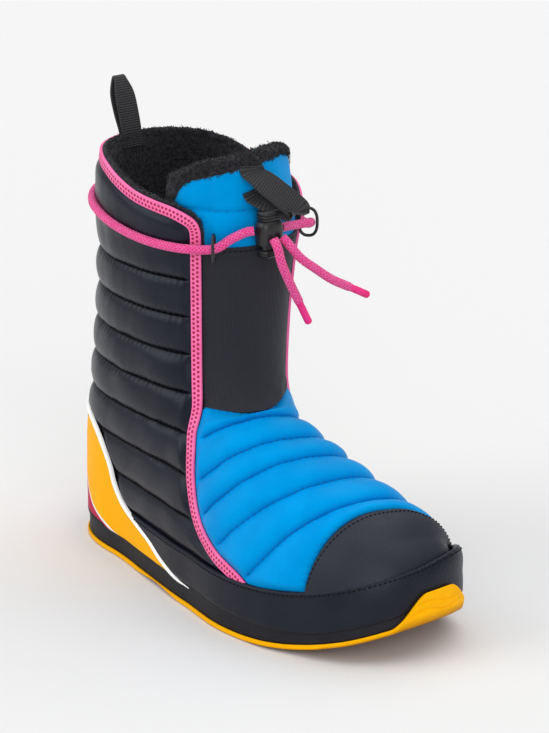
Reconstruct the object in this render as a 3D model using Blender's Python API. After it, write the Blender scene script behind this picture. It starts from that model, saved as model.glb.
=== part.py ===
"""Right-foot quilted bootie with a drawcord, as separate named pieces.

Sizes are in millimetres and become metres when a mesh is made. +X points to the toe, +Y to the
inner side of the foot and +Z up. The pieces are worked out on a flat-soled form, and the toe spring
then lifts every point of the forefoot by one curve.
"""
import math
from collections import namedtuple

import bpy
import numpy as np

MM = 0.001
GAP = 0.3

# Overall form. The upper's outline is the sole's outline less the sole's edge.
SOLE_EDGE = 2.5
HEEL_X = -7.0
TOE_X = 289.5
HEEL_CENTRE_X = 46.0
TOE_CENTRE_X = 246.0
PLAN_POWER = 2.35
CROWN_SIDE_POWER = 2.3
CROWN_TOP_POWER = 2.1
SHAFT_POWER = 2.25
FOOT_SCALE = 50.0
SHAFT_SCALE = 58.0
ANKLE_BLEND = 16.0
SHAFT_CENTRE_X = 78.0
THROAT_CENTRE_X = 85.0
FOOT_CENTRE_TOP = 110.0
FOOT_CENTRE_FADE = 60.0
ORIGIN_X = 142.2
ORIGIN_Y = -4.9

# Sole stack, measured up from the ground on the flat-soled form.
OUTSOLE_TOP = 5.0
OUTSOLE_LIP = 0.7
OUTSOLE_LIP_THICKNESS = 0.9
OUTSOLE_ROUND = 1.5
BUMPER_TOP = 23.5
BUMPER_THICKNESS = 2.2
BUMPER_INNER = 2.4
BUMPER_HALF_ANGLE = 56.0
MIDSOLE_TOP = 17.0
FEATHER_Z = 17.0
ARCH_LIFT = 2.0
INSOLE_THICKNESS = 4.0
SOLE_SHRINK = 0.55

# Upper and overlays.
WALL = 5.0
UPPER_BOTTOM = MIDSOLE_TOP + GAP
RAND_TOP = 35.0
RAND_REAR_GAP = 3.0
RAND_REAR_STEP = 6.0
RAND_FIRST_COLUMN = 2
OVERLAY_INNER = 0.4
OVERLAY_OUTER = 2.0
THROAT_HEADING = 40.0
THROAT_CORNER_DROP = 7.0
THROAT_CORNER_TURN = 20.0

# Tongue and gusset.
GUSSET_TOP = 215.0
GUSSET_OUTER = -1.2
GUSSET_INNER = -3.2
GUSSET_ROWS = 7
TONGUE_BOTTOM = 118.0
TONGUE_TOP = 268.0
TONGUE_SIDE_DROP = 16.0
TONGUE_HEADING = 62.0
TONGUE_OUTER = -3.8
TONGUE_TUCK = 2.1
TONGUE_LEAN = 2.6
TONGUE_TUCK_HEADING = 30.0
TONGUE_TUCK_TURN = 7.0
TONGUE_TUCK_TOP = 128.0
TONGUE_TUCK_RISE = 5.0
TONGUE_THICKNESS = 6.0
TONGUE_COLUMNS = 17
TONGUE_TOP_ROWS = 4

# Webbing, cord and cord lock.
PULL_LOOP_WIDTH = 17.0
PULL_LOOP_THICKNESS = 1.5
PULL_LOOP_LEAN = 0.33
PULL_LOOP_Y = -1.8
PULL_LOOP_REAR = 0.32
PULL_LOOP_FRONT = 0.86
TONGUE_LOOP_WIDTH = 16.0
TONGUE_LOOP_THICKNESS = 1.5
TONGUE_LOOP_ACROSS = (0.22, 0.975, 0)
CORD_DIAMETER = 5.5
CORD_STEP = 8.0
CORD_TIP_DIAMETER = 4.6
CORD_TIP_LENGTH = 17.0
KEEPER_WIRE = 1.8
KEEPER_HALF_HEIGHT = 8.5
KEEPER_ROUND = 0.8
KEEPER_STEP = 2.6
LOCK_CENTRE = (150.0, -3.0, 224.5)
LOCK_HALF_DEPTH = 5.5
LOCK_HALF_WIDTH = 8.0
LOCK_HALF_HEIGHT = 7.5
LOCK_POWER = 3.0
LOCK_SIDES = 20
LOCK_BORE_RADIUS = 3.2
LOCK_BORE_DEPTH = 9.0
BUTTON_STEM_RADIUS = 2.9
BUTTON_STEM_REACH = 5.5
BUTTON_HALF_DEPTH = 4.7
BUTTON_HALF_WIDTH = 6.9
BUTTON_HEIGHT = 5.0
BUTTON_TRAVEL_GAP = 3.0
# Sides of the housing and of the button: how far in from the full size, at each height above the foot.
SideRow = namedtuple("SideRow", "inset rise")
HOUSING_SIDE = [SideRow(0.8, 0), SideRow(0, 1), SideRow(0, 12), SideRow(0.9, 14.1), SideRow(2.6, 15)]
BUTTON_SIDE = [SideRow(2, 0), SideRow(0.5, 0.9), SideRow(0, 2.2), SideRow(0, 4.5), SideRow(0.5, 5)]

PlanRow = namedtuple("PlanRow", "x centre half_width")
PLAN = [
    PlanRow(0, 0.5, 39),
    PlanRow(46, -1, 40.5),
    PlanRow(95, -6.9, 44.7),
    PlanRow(140, -12.6, 48.1),
    PlanRow(180, -13.5, 54.5),
    PlanRow(215, -10.2, 56.2),
    PlanRow(246, -5, 51.5),
    PlanRow(298, 1, 42.5),
]
RoofRow = namedtuple("RoofRow", "x z")
ROOF = [
    RoofRow(40, 199),
    RoofRow(70, 189),
    RoofRow(95, 168),
    RoofRow(115, 147.5),
    RoofRow(140, 129),
    RoofRow(170, 113.5),
    RoofRow(200, 100.5),
    RoofRow(230, 86),
    RoofRow(260, 69.5),
    RoofRow(298, 55),
]
SpringRow = namedtuple("SpringRow", "x lift")
SPRING = [
    SpringRow(0, 0),
    SpringRow(195, 0),
    SpringRow(230, 2.2),
    SpringRow(265, 10.3),
    SpringRow(300, 25),
]
ArchRow = namedtuple("ArchRow", "x share")
ARCH = [ArchRow(0, 0), ArchRow(75, 0), ArchRow(106, 1), ArchRow(138, 0), ArchRow(300, 0)]
ShaftRow = namedtuple("ShaftRow", "z back front centre half_width")
SHAFT = [
    ShaftRow(10, 5, 139, 0, 36),
    ShaftRow(40, 4, 140.5, 0, 38),
    ShaftRow(80, 7, 141.5, 0, 42.5),
    ShaftRow(120, 11.5, 142, 0, 44.5),
    ShaftRow(160, 10.5, 143, 0.5, 46),
    ShaftRow(200, 9.5, 144.5, 2, 49),
    ShaftRow(230, 10, 146.5, 3.5, 52.5),
    ShaftRow(260, 15.5, 145, 4, 53.5),
    ShaftRow(290, 22, 143, 4, 54),
]
# One row for each ring of the upper, from the feather line to the collar.
RingRow = namedtuple("RingRow", "z_back x_front z_front tilt")
RAND_RINGS = [RingRow(z, TOE_CENTRE_X, z, 0) for z in (UPPER_BOTTOM, 23, 29)]
CAP_RINGS = [
    RingRow(35.5, 246, 35.5, 0),
    RingRow(37.5, 245.4, 36, 16),
    RingRow(39.5, 244.8, 36.5, 32),
    RingRow(41.5, 244.2, 37, 47),
    RingRow(43.5, 243.6, 37.5, 60),
    RingRow(45.5, 243, 38, 72),
]
VAMP_RINGS = [
    RingRow(52, 226, 41.5, 58),
    RingRow(59, 207, 45.5, 44),
    RingRow(66, 193, 50, 40),
    RingRow(73, 180, 55.5, 38),
    RingRow(80, 167, 61, 38),
    RingRow(87, 155, 67, 37),
    RingRow(94, 145, 74.5, 33),
    RingRow(101, 137, 84, 28),
    RingRow(108, 127, 95, 22),
    RingRow(115, 108, 108, 11),
]
SHAFT_RINGS = [RingRow(z, THROAT_CENTRE_X, z, 0) for z in (122, 138, 154, 170, 186, 202)]
COLLAR_RINGS = [
    RingRow(217, THROAT_CENTRE_X, 216, 0),
    RingRow(238, THROAT_CENTRE_X, 228, 0),
    RingRow(261, THROAT_CENTRE_X, 240, 0),
]
CollarRow = namedtuple("CollarRow", "x z")
COLLAR = [
    CollarRow(15, 261),
    CollarRow(30, 259),
    CollarRow(50, 254.5),
    CollarRow(66, 249),
    CollarRow(82, 244),
    CollarRow(100, 241),
    CollarRow(120, 239),
]
RINGS = RAND_RINGS + CAP_RINGS + VAMP_RINGS + SHAFT_RINGS + COLLAR_RINGS
THROAT_RING = len(RAND_RINGS + CAP_RINGS + VAMP_RINGS)
CAP_FIRST = len(RAND_RINGS)
CAP_LAST = CAP_FIRST + len(CAP_RINGS)

# Front edge of the heel counter: how far forward it reaches at each height.
HeelRow = namedtuple("HeelRow", "z x")
HEEL_EDGE = [
    HeelRow(19, 101),
    HeelRow(24, 89.5),
    HeelRow(36, 67.5),
    HeelRow(43, 61.5),
    HeelRow(59, 50),
    HeelRow(72.5, 37.6),
    HeelRow(82.5, 23.3),
    HeelRow(87, 9),
    HeelRow(89, -6),
]
# The cord's run round the shaft: heading about the shaft's centre, height, distance off the form.
RunRow = namedtuple("RunRow", "heading z off")
CORD_RUN = [
    RunRow(-44, 216, 4.9),
    RunRow(-62, 216, 3.9),
    RunRow(-80, 217, 3.7),
    RunRow(-100, 219, 3.7),
    RunRow(-120, 222, 3.7),
    RunRow(-140, 225, 3.7),
    RunRow(-160, 227, 3.7),
    RunRow(-180, 228, 3.7),
]
KeeperRow = namedtuple("KeeperRow", "name heading z cord_off off half_width")
KEEPERS = [
    KeeperRow("keeper_outer", -29, 217, 5.0, 5.0, 4.9),
    KeeperRow("keeper_inner", 29, 222, 6.6, 5.0, 5.6),
]
PullRow = namedtuple("PullRow", "out rise")
PULL_LOOP_LEG = [PullRow(0, 0), PullRow(1, 10), PullRow(1.2, 20), PullRow(0.4, 26)]
PULL_LOOP_TOP = 29.2
RoutePoint = namedtuple("RoutePoint", "x y z")
CORD_TO_LOCK_OUTER = [RoutePoint(140.4, -24.5, 221.5), RoutePoint(145.2, -17.5, 225.5)]
CORD_TO_LOCK_INNER = [RoutePoint(147, 14, 224), RoutePoint(144.6, 25, 222.6)]
LOCK_ENTRY_OUTER = RoutePoint(148.7, -13.3, 226.6)
LOCK_ENTRY_INNER = RoutePoint(148.7, 7.3, 224.8)
CORD_END_SHORT = [
    RoutePoint(158.2, -6.4, 222.3),
    RoutePoint(161.4, -6.0, 217.4),
    RoutePoint(162.6, -4.0, 208),
    RoutePoint(163.4, 1.5, 195.5),
    RoutePoint(163.6, 8.5, 182.5),
]
CORD_END_LONG = [
    RoutePoint(158.2, 0.4, 222.3),
    RoutePoint(162.3, 2.6, 217.6),
    RoutePoint(165.2, 8.5, 209.5),
    RoutePoint(168.0, 17.5, 202),
    RoutePoint(169.8, 29.0, 193.5),
    RoutePoint(170.6, 42, 186.5),
]
# The loop leaves the tongue's face near its top, hangs to a fold and comes back to the face lower down.
FacePoint = namedtuple("FacePoint", "heading z off")
TONGUE_LOOP_START = [FacePoint(-7.5, 263, 0.2), FacePoint(-7.5, 259.5, 1.2)]
TONGUE_LOOP_END = [FacePoint(-6, 245.5, 1.6), FacePoint(-7, 249, 0.3)]
TONGUE_LOOP_ROUTE = [
    RoutePoint(146.0, -4.5, 255),
    RoutePoint(151.4, 1.4, 248.6),
    RoutePoint(157, 8.4, 241),
    RoutePoint(159.4, 11.6, 236.6),
    RoutePoint(158.2, 11.1, 234.8),
    RoutePoint(155.2, 8.6, 236),
    RoutePoint(150.4, 2.6, 240.2),
    RoutePoint(147, -3, 242.4),
]

# Ray counts round a ring, on one side of the foot.
BACK_STEPS = 6
SIDE_STEPS = 9
FRONT_STEPS = 9
FULL_TURN = 360.0

Finish = namedtuple("Finish", "colour roughness metallic")
ORANGE_RUBBER = Finish((0.93, 0.50, 0.06), 0.55, 0.0)
BLACK_MOULDED = Finish((0.03, 0.03, 0.035), 0.5, 0.0)
BLACK_LEATHER = Finish((0.035, 0.035, 0.04), 0.45, 0.0)
BLUE_LEATHER = Finish((0.0, 0.28, 0.75), 0.5, 0.0)
BLACK_STRETCH = Finish((0.025, 0.025, 0.03), 0.85, 0.0)
BLACK_WEBBING = Finish((0.02, 0.02, 0.024), 0.8, 0.0)
HEEL_ORANGE = Finish((0.95, 0.42, 0.01), 0.45, 0.0)
FLEECE = Finish((0.03, 0.03, 0.033), 0.95, 0.0)
PINK_BRAID = Finish((0.86, 0.09, 0.35), 0.7, 0.0)
PINK_PLASTIC = Finish((0.72, 0.03, 0.2), 0.35, 0.0)
BLACK_PLASTIC = Finish((0.02, 0.02, 0.022), 0.4, 0.0)


def along(rows, field, at):
    """Read one column of a table at any place, on a smooth curve that never overshoots its rows."""
    x = np.array([row[0] for row in rows], float)
    y = np.array([getattr(row, field) for row in rows], float)
    width = np.diff(x)
    rise = np.diff(y) / width
    slope = np.empty_like(y)
    slope[0], slope[-1] = rise[0], rise[-1]
    product = rise[1:] * rise[:-1]
    total = np.where(rise[1:] + rise[:-1] == 0, 1, rise[1:] + rise[:-1])
    slope[1:-1] = np.where(product > 0, 2 * product / total, 0)
    at = np.asarray(at, float)
    i = np.clip(np.searchsorted(x, at) - 1, 0, len(x) - 2)
    s = np.clip((at - x[i]) / width[i], 0, 1)
    start = (2 * s**3 - 3 * s**2 + 1) * y[i] + (s**3 - 2 * s**2 + s) * width[i] * slope[i]
    end = (3 * s**2 - 2 * s**3) * y[i + 1] + (s**3 - s**2) * width[i] * slope[i + 1]
    over = at - np.clip(at, x[0], x[-1])
    return start + end + over * np.where(over > 0, slope[-1], slope[0])


def ease(value):
    """Smooth step from 0 to 1."""
    value = np.clip(value, 0, 1)
    return value * value * (3 - 2 * value)


def plan_value(x, y):
    """1 on the outline of the foot seen from above, less inside it and more outside."""
    toe = np.maximum(0, (x - TOE_CENTRE_X) / (TOE_X - TOE_CENTRE_X))
    heel = np.maximum(0, (HEEL_CENTRE_X - x) / (HEEL_CENTRE_X - HEEL_X))
    side = np.abs((y - along(PLAN, "centre", x)) / along(PLAN, "half_width", x))
    return (toe**PLAN_POWER + heel**PLAN_POWER + side**PLAN_POWER) ** (1 / PLAN_POWER)


def form_value(points):
    """0 on the outer face of the upper: a crowned foot blended into an oval shaft."""
    x, y, z = points[..., 0], points[..., 1], points[..., 2]
    height = np.maximum(0, (z - FEATHER_Z) / (along(ROOF, "z", x) - FEATHER_Z))
    crown = plan_value(x, y) ** CROWN_SIDE_POWER + height**CROWN_TOP_POWER
    foot = (crown ** (1 / CROWN_SIDE_POWER) - 1) * FOOT_SCALE
    back = along(SHAFT, "back", z)
    front = along(SHAFT, "front", z)
    lengthwise = np.abs((2 * x - back - front) / (front - back)) ** SHAFT_POWER
    crosswise = np.abs((y - along(SHAFT, "centre", z)) / along(SHAFT, "half_width", z)) ** SHAFT_POWER
    shaft = ((lengthwise + crosswise) ** (1 / SHAFT_POWER) - 1) * SHAFT_SCALE
    mix = np.clip(0.5 + 0.5 * (shaft - foot) / ANKLE_BLEND, 0, 1)
    return shaft * (1 - mix) + foot * mix - ANKLE_BLEND * mix * (1 - mix)


def outline_value(points):
    """The same measure as form_value for the outline seen from above."""
    return (plan_value(points[..., 0], points[..., 1]) - 1) * FOOT_SCALE


def cast(value, starts, headings, reach=240.0, strides=40, halvings=26):
    """First place along each ray where the value turns positive."""
    near = np.zeros(starts.shape[:-1])
    far = np.full(starts.shape[:-1], reach)
    found = np.zeros(starts.shape[:-1], bool)
    stops = np.linspace(0, reach, strides + 1)
    for low, high in zip(stops[:-1], stops[1:]):
        crossed = ~found & (value(starts + headings * high) > 0)
        near = np.where(crossed, low, near)
        far = np.where(crossed, high, far)
        found |= crossed
    for _ in range(halvings):
        middle = (near + far) / 2
        outside = value(starts + headings * middle[..., None]) > 0
        far = np.where(outside, middle, far)
        near = np.where(outside, near, middle)
    return starts + headings * ((near + far) / 2)[..., None]


def normals(value, points, step=0.2):
    """Outward direction of the surface at each point."""
    slope = np.stack([value(points + step * axis) - value(points - step * axis) for axis in np.eye(3)], -1)
    return slope / np.linalg.norm(slope, axis=-1, keepdims=True)


def centre_y(x, z):
    """Middle of the foot low down, and of the shaft higher up."""
    return along(PLAN, "centre", x) * np.clip((FOOT_CENTRE_TOP - z) / FOOT_CENTRE_FADE, 0, 1)


def ring_columns():
    """Share of the way from heel to front and heading of each ray, once round from the heel's back."""
    outer = [(0.0, 180 + 90 * i / BACK_STEPS) for i in range(BACK_STEPS)]
    outer += [(i / SIDE_STEPS, 270.0) for i in range(SIDE_STEPS)]
    outer += [(1.0, 270 + 90 * i / FRONT_STEPS) for i in range(FRONT_STEPS)]
    inner = [(1.0, FULL_TURN + 90 * i / FRONT_STEPS) for i in range(FRONT_STEPS)]
    inner += [(1 - i / SIDE_STEPS, FULL_TURN + 90) for i in range(SIDE_STEPS)]
    inner += [(0.0, FULL_TURN + 90 + 90 * i / BACK_STEPS) for i in range(BACK_STEPS)]
    return np.array(outer + inner)


def ring_rays(ring, columns):
    """Start and direction of the rays of one ring; the front fan leans up by the ring's tilt."""
    share = columns[:, 0]
    heading = np.radians(columns[:, 1])
    x = HEEL_CENTRE_X + share * (ring.x_front - HEEL_CENTRE_X)
    z = ring.z_back + share * (ring.z_front - ring.z_back)
    starts = np.stack([x, centre_y(x, z), z], -1)
    lean = math.radians(ring.tilt) * (share >= 1)
    forward = np.cos(heading)
    return starts, np.stack([forward * np.cos(lean), np.sin(heading), forward * np.sin(lean)], -1)


def sprung(points):
    """Lift the forefoot by the toe spring and move the form to the part's origin."""
    lifted = np.array(points, float)
    lifted[..., 2] += along(SPRING, "lift", lifted[..., 0])
    lifted[..., 0] -= ORIGIN_X
    lifted[..., 1] -= ORIGIN_Y
    return lifted


def finish_object(name, mesh_or_curve, finish):
    """Put a mesh or curve into the scene with its own material."""
    material = bpy.data.materials.new(name)
    material.use_nodes = True
    shader = material.node_tree.nodes["Principled BSDF"]
    shader.inputs["Base Color"].default_value = (*finish.colour, 1)
    shader.inputs["Roughness"].default_value = finish.roughness
    shader.inputs["Metallic"].default_value = finish.metallic
    mesh_or_curve.materials.append(material)
    thing = bpy.data.objects.new(name, mesh_or_curve)
    bpy.context.scene.collection.objects.link(thing)
    return thing


def add_mesh(name, points, faces, finish):
    """Make one mesh object from points on the flat-soled form, leaving out unused points."""
    used = sorted({i for face in faces for i in face})
    order = {old: new for new, old in enumerate(used)}
    vertices = sprung(np.asarray(points)[used]) * MM
    mesh = bpy.data.meshes.new(name)
    mesh.from_pydata(vertices.tolist(), [], [[order[i] for i in face] for face in faces])
    mesh.shade_smooth()
    mesh.set_sharp_from_angle(angle=math.radians(40))
    return finish_object(name, mesh, finish)


def add_shell(name, outer, inner, finish, keep=None, wrap=False):
    """Closed wall between two grids of points, over the cells that are kept, with rims round them."""
    rows, columns = outer.shape[:2]
    cells = (rows - 1, columns if wrap else columns - 1)
    keep = np.ones(cells, bool) if keep is None else keep
    inside = rows * columns

    def at(r, c):
        return r * columns + c % columns

    def kept(r, c):
        if not 0 <= r < cells[0] or not (wrap or 0 <= c < cells[1]):
            return False
        return bool(keep[r, c % cells[1]])

    faces = []
    for r, c in zip(*np.nonzero(keep)):
        corners = [at(r, c), at(r, c + 1), at(r + 1, c + 1), at(r + 1, c)]
        faces.append(corners)
        faces.append([i + inside for i in reversed(corners)])
        beside = [(r - 1, c), (r, c + 1), (r + 1, c), (r, c - 1)]
        for k, neighbour in enumerate(beside):
            if not kept(*neighbour):
                start, end = corners[k], corners[(k + 1) % 4]
                faces.append([start, start + inside, end + inside, end])
    points = np.concatenate([outer.reshape(-1, 3), inner.reshape(-1, 3)])
    return add_mesh(name, points, faces, finish)


def add_stack(name, loops, finish, first, last, spine):
    """Closed solid from loops: from the first centre points out, up the sides and in to the last ones.

    spine gives, for each place round a loop, the index of its point in first and in last.
    """
    count = len(loops[0])
    points = np.concatenate([np.asarray(first), *loops, np.asarray(last)])
    base = len(first)
    top = base + count * len(loops)
    faces = []
    for c in range(count):
        d = (c + 1) % count
        faces.append([spine[c], spine[d], base + d, base + c])
        for r in range(len(loops) - 1):
            low, high = base + r * count, base + (r + 1) * count
            faces.append([low + c, low + d, high + d, high + c])
        edge = top - count
        faces.append([edge + c, edge + d, top + spine[d], top + spine[c]])
    faces = [list(dict.fromkeys(face)) for face in faces]
    return add_mesh(name, points, faces, finish)


def sole_columns():
    """Rays, outline points, outward directions and spine of the sole, seen from above."""
    columns = ring_columns()
    flat = RingRow(0, TOE_CENTRE_X, 0, 0)
    starts, headings = ring_rays(flat, columns)
    outline = cast(outline_value, starts, headings)
    spine = np.rint(columns[:, 0] * SIDE_STEPS).astype(int)
    return columns, starts, outline, normals(outline_value, outline), spine


def toe_share(columns):
    """1 at the tip of the toe, 0 where the bumper ends on each side."""
    turned = np.abs(columns[:, 1] - FULL_TURN)
    return np.where(columns[:, 0] >= 1, ease(1 - turned / BUMPER_HALF_ANGLE), 0)


def with_z(points, z):
    """Copy of the points at one height or at a height each."""
    placed = np.array(points, float)
    placed[:, 2] = z
    return placed


def spine_points(starts, spine, z):
    """One point for each place along the middle of the sole, at the given height of each ray."""
    picks = [int(np.argmax(spine == i)) for i in range(SIDE_STEPS + 1)]
    heights = np.broadcast_to(z, len(starts))
    return with_z(starts[picks], heights[picks])


def build_sole():
    """Outsole with its toe bumper, midsole and insole."""
    columns, starts, outline, outward, spine = sole_columns()
    toe = toe_share(columns)

    def edge(offset):
        return outline + outward * np.reshape(offset, (-1, 1))

    def toward(points):
        return starts + SOLE_SHRINK * (points - starts)

    def ground(points):
        return ARCH_LIFT * along(ARCH, "share", points[:, 0])

    lip = OUTSOLE_LIP_THICKNESS + (BUMPER_THICKNESS - OUTSOLE_LIP_THICKNESS) * ease(3 * toe)
    outside = SOLE_EDGE + (BUMPER_INNER + BUMPER_THICKNESS - SOLE_EDGE) * ease(3 * toe)
    rim = OUTSOLE_TOP + OUTSOLE_LIP + (BUMPER_TOP - OUTSOLE_TOP - OUTSOLE_LIP) * toe
    sole = edge(outside)
    tread = edge(outside - OUTSOLE_ROUND)
    seat = edge(outside - lip)
    bed = edge(-WALL - 2 * GAP)
    outsole_loops = [
        with_z(toward(tread), ground(toward(tread))),
        with_z(tread, ground(tread)),
        with_z(sole, ground(sole) + OUTSOLE_ROUND),
        with_z(sole, rim),
        with_z(seat, rim),
        with_z(seat, OUTSOLE_TOP),
        with_z(bed, OUTSOLE_TOP),
        with_z(toward(bed), OUTSOLE_TOP),
    ]
    low = spine_points(starts, spine, ground(starts))
    high = spine_points(starts, spine, OUTSOLE_TOP)
    add_stack("outsole", outsole_loops, ORANGE_RUBBER, low, high, spine)

    wall = edge(outside - lip - GAP)
    midsole_loops = [
        with_z(toward(bed), OUTSOLE_TOP + GAP),
        with_z(bed, OUTSOLE_TOP + GAP),
        with_z(wall, OUTSOLE_TOP + GAP),
        with_z(wall, MIDSOLE_TOP),
        with_z(bed, MIDSOLE_TOP),
        with_z(toward(bed), MIDSOLE_TOP),
    ]
    low = spine_points(starts, spine, OUTSOLE_TOP + GAP)
    high = spine_points(starts, spine, MIDSOLE_TOP)
    add_stack("midsole", midsole_loops, BLACK_MOULDED, low, high, spine)

    bed_low = MIDSOLE_TOP + GAP
    bed_high = bed_low + INSOLE_THICKNESS
    insole_loops = [
        with_z(toward(bed), bed_low),
        with_z(bed, bed_low),
        with_z(bed, bed_high),
        with_z(toward(bed), bed_high),
    ]
    low = spine_points(starts, spine, bed_low)
    high = spine_points(starts, spine, bed_high)
    add_stack("insole", insole_loops, FLEECE, low, high, spine)


def upper_grid():
    """Outer face of the upper as rings of points, with the collar's front corners rounded off."""
    columns = ring_columns()
    turned = np.abs(columns[:, 1] - FULL_TURN)
    rounded = np.clip(1 - np.abs(turned - THROAT_HEADING) / THROAT_CORNER_TURN, 0, 1)
    corner = np.where(columns[:, 0] >= 1, rounded, 0)
    rings = []
    for i, ring in enumerate(RINGS):
        starts, headings = ring_rays(ring, columns)
        if i == len(RINGS) - 1:
            starts[:, 2] = along(COLLAR, "z", rings[-1][:, 0]) - THROAT_CORNER_DROP * corner
        rings.append(cast(form_value, starts, headings))
    return columns, np.array(rings)


def build_upper():
    """Quarters and vamp as one wall, open underneath, at the throat and at the collar."""
    columns, outer = upper_grid()
    outward = normals(form_value, outer)
    keep = np.ones((len(RINGS) - 1, len(columns)), bool)
    turned = columns[:, 1] - FULL_TURN
    front = (columns[:, 0] >= 1) & (turned >= -THROAT_HEADING - 1) & (turned < THROAT_HEADING - 1)
    keep[THROAT_RING:, front] = False
    add_shell("upper", outer, outer - WALL * outward, BLACK_LEATHER, keep, wrap=True)
    return outer, outward


def add_overlay(name, face, finish):
    """Panel that stands proud of the upper, between two offsets of the upper's own form."""
    outward = normals(form_value, face)
    add_shell(name, face + OVERLAY_OUTER * outward, face + OVERLAY_INNER * outward, finish)


def build_toe_cap(outer):
    """Cap over the toe: the front fan of the cap's own rings."""
    columns = ring_columns()
    fan = np.nonzero((columns[:, 0] >= 1) & (np.abs(columns[:, 1] - FULL_TURN) <= 90))[0]
    add_overlay("toe_cap", outer[CAP_FIRST:CAP_LAST, fan], BLACK_LEATHER)


def build_rand():
    """Band round the sides and toe, from the heel counter's edge on one side to that on the other."""
    share = np.arange(RAND_FIRST_COLUMN, SIDE_STEPS) / SIDE_STEPS
    side_x = HEEL_CENTRE_X + share * (TOE_CENTRE_X - HEEL_CENTRE_X)
    fan = np.radians(np.linspace(-90, 90, 2 * FRONT_STEPS + 1))
    straight = np.full(len(side_x) + 1, math.pi / 2)
    heading = np.concatenate([-straight, fan, straight])
    face = []
    for z in (UPPER_BOTTOM + GAP, *[ring.z_front for ring in RAND_RINGS[1:]], RAND_TOP):
        start_x = along(HEEL_EDGE, "x", max(z, HEEL_EDGE[0].z)) + RAND_REAR_GAP
        row_x = np.maximum(side_x, start_x + RAND_REAR_STEP)
        x = np.concatenate([[start_x], row_x, np.full(len(fan), TOE_CENTRE_X), row_x[::-1], [start_x]])
        starts = np.stack([x, centre_y(x, z), np.full(len(x), z)], -1)
        headings = np.stack([np.cos(heading), np.sin(heading), np.zeros(len(x))], -1)
        face.append(cast(form_value, starts, headings))
    add_overlay("rand", np.array(face), BLACK_LEATHER)


def build_heel_counter(rows=7, side_columns=5):
    """Panel round the heel, whose top edge falls from the back of the heel to the sole."""
    reach = np.linspace(HEEL_EDGE[0].x, HEEL_CENTRE_X, side_columns, endpoint=False)
    fan = np.radians(np.linspace(270, 90, 2 * BACK_STEPS + 1))
    x = np.concatenate([reach, np.full(len(fan), HEEL_CENTRE_X), reach[::-1]])
    heading = np.concatenate([np.full(side_columns, fan[0]), fan, np.full(side_columns, fan[-1])])
    surface_x = x + (HEEL_CENTRE_X - HEEL_X) * np.cos(heading)
    heights = np.linspace(HEEL_EDGE[0].z, HEEL_EDGE[-1].z, 200)
    edge_x = along(HEEL_EDGE, "x", heights)
    top = np.interp(surface_x, edge_x[::-1], heights[::-1])
    low = UPPER_BOTTOM + GAP
    face = []
    for share in np.linspace(0, 1, rows):
        starts = np.stack([x, centre_y(x, low), low + share * (top - low)], -1)
        headings = np.stack([np.cos(heading), np.sin(heading), np.zeros(len(x))], -1)
        face.append(cast(form_value, starts, headings))
    add_overlay("heel_counter", np.array(face)[:, ::-1], HEEL_ORANGE)


def throat_face(headings, heights):
    """Points of the form in front of the throat's centre, by heading and height."""
    turn, z = np.broadcast_arrays(np.radians(headings)[None, :], heights)
    starts = np.stack([np.full(z.shape, THROAT_CENTRE_X), np.zeros(z.shape), z], -1)
    face = cast(form_value, starts, np.stack([np.cos(turn), np.sin(turn), np.zeros(z.shape)], -1))
    return face, normals(form_value, face)


def throat_headings():
    """Headings of the tongue's columns; the gusset takes the middle ones."""
    return np.linspace(-TONGUE_HEADING, TONGUE_HEADING, TONGUE_COLUMNS)


def gusset_heights():
    """Heights of the gusset's rows, which the tongue behind it shares."""
    return np.linspace(SHAFT_RINGS[0].z_front + 2 * GAP, GUSSET_TOP, GUSSET_ROWS)


def build_gusset():
    """Stretch panel that closes the throat below the tongue's top."""
    headings = throat_headings()
    headings = headings[np.abs(headings) < THROAT_HEADING]
    heights = np.repeat(gusset_heights()[:, None], len(headings), 1)
    face, outward = throat_face(headings, heights)
    add_shell("gusset", face + GUSSET_OUTER * outward, face + GUSSET_INNER * outward, BLACK_STRETCH)


def tongue_offset(headings, heights):
    """Distance of the tongue's outer face from the form; it lies deeper under the quarters and at its top."""
    beside = ease((np.abs(headings) - TONGUE_TUCK_HEADING) / TONGUE_TUCK_TURN)
    below = ease((TONGUE_TUCK_TOP - heights) / TONGUE_TUCK_RISE)
    above = ease((heights - GUSSET_TOP) / (TONGUE_TOP - GUSSET_TOP))
    return TONGUE_OUTER - TONGUE_TUCK * np.maximum(beside, below) - TONGUE_LEAN * above


def build_tongue():
    """Padded tongue that fills the throat from inside and rises above the collar."""
    headings = throat_headings()
    top = TONGUE_TOP - TONGUE_SIDE_DROP * (headings / TONGUE_HEADING) ** 2
    behind = np.concatenate([[TONGUE_BOTTOM], gusset_heights()])
    share = np.linspace(0, 1, TONGUE_TOP_ROWS + 1)[1:, None]
    heights = np.concatenate([np.repeat(behind[:, None], len(headings), 1),
                              GUSSET_TOP + share * (top - GUSSET_TOP)[None, :]])
    face, outward = throat_face(headings, heights)
    outer = face + tongue_offset(headings[None, :], heights)[..., None] * outward
    add_shell("tongue", outer, outer - TONGUE_THICKNESS * outward, BLUE_LEATHER)


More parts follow.
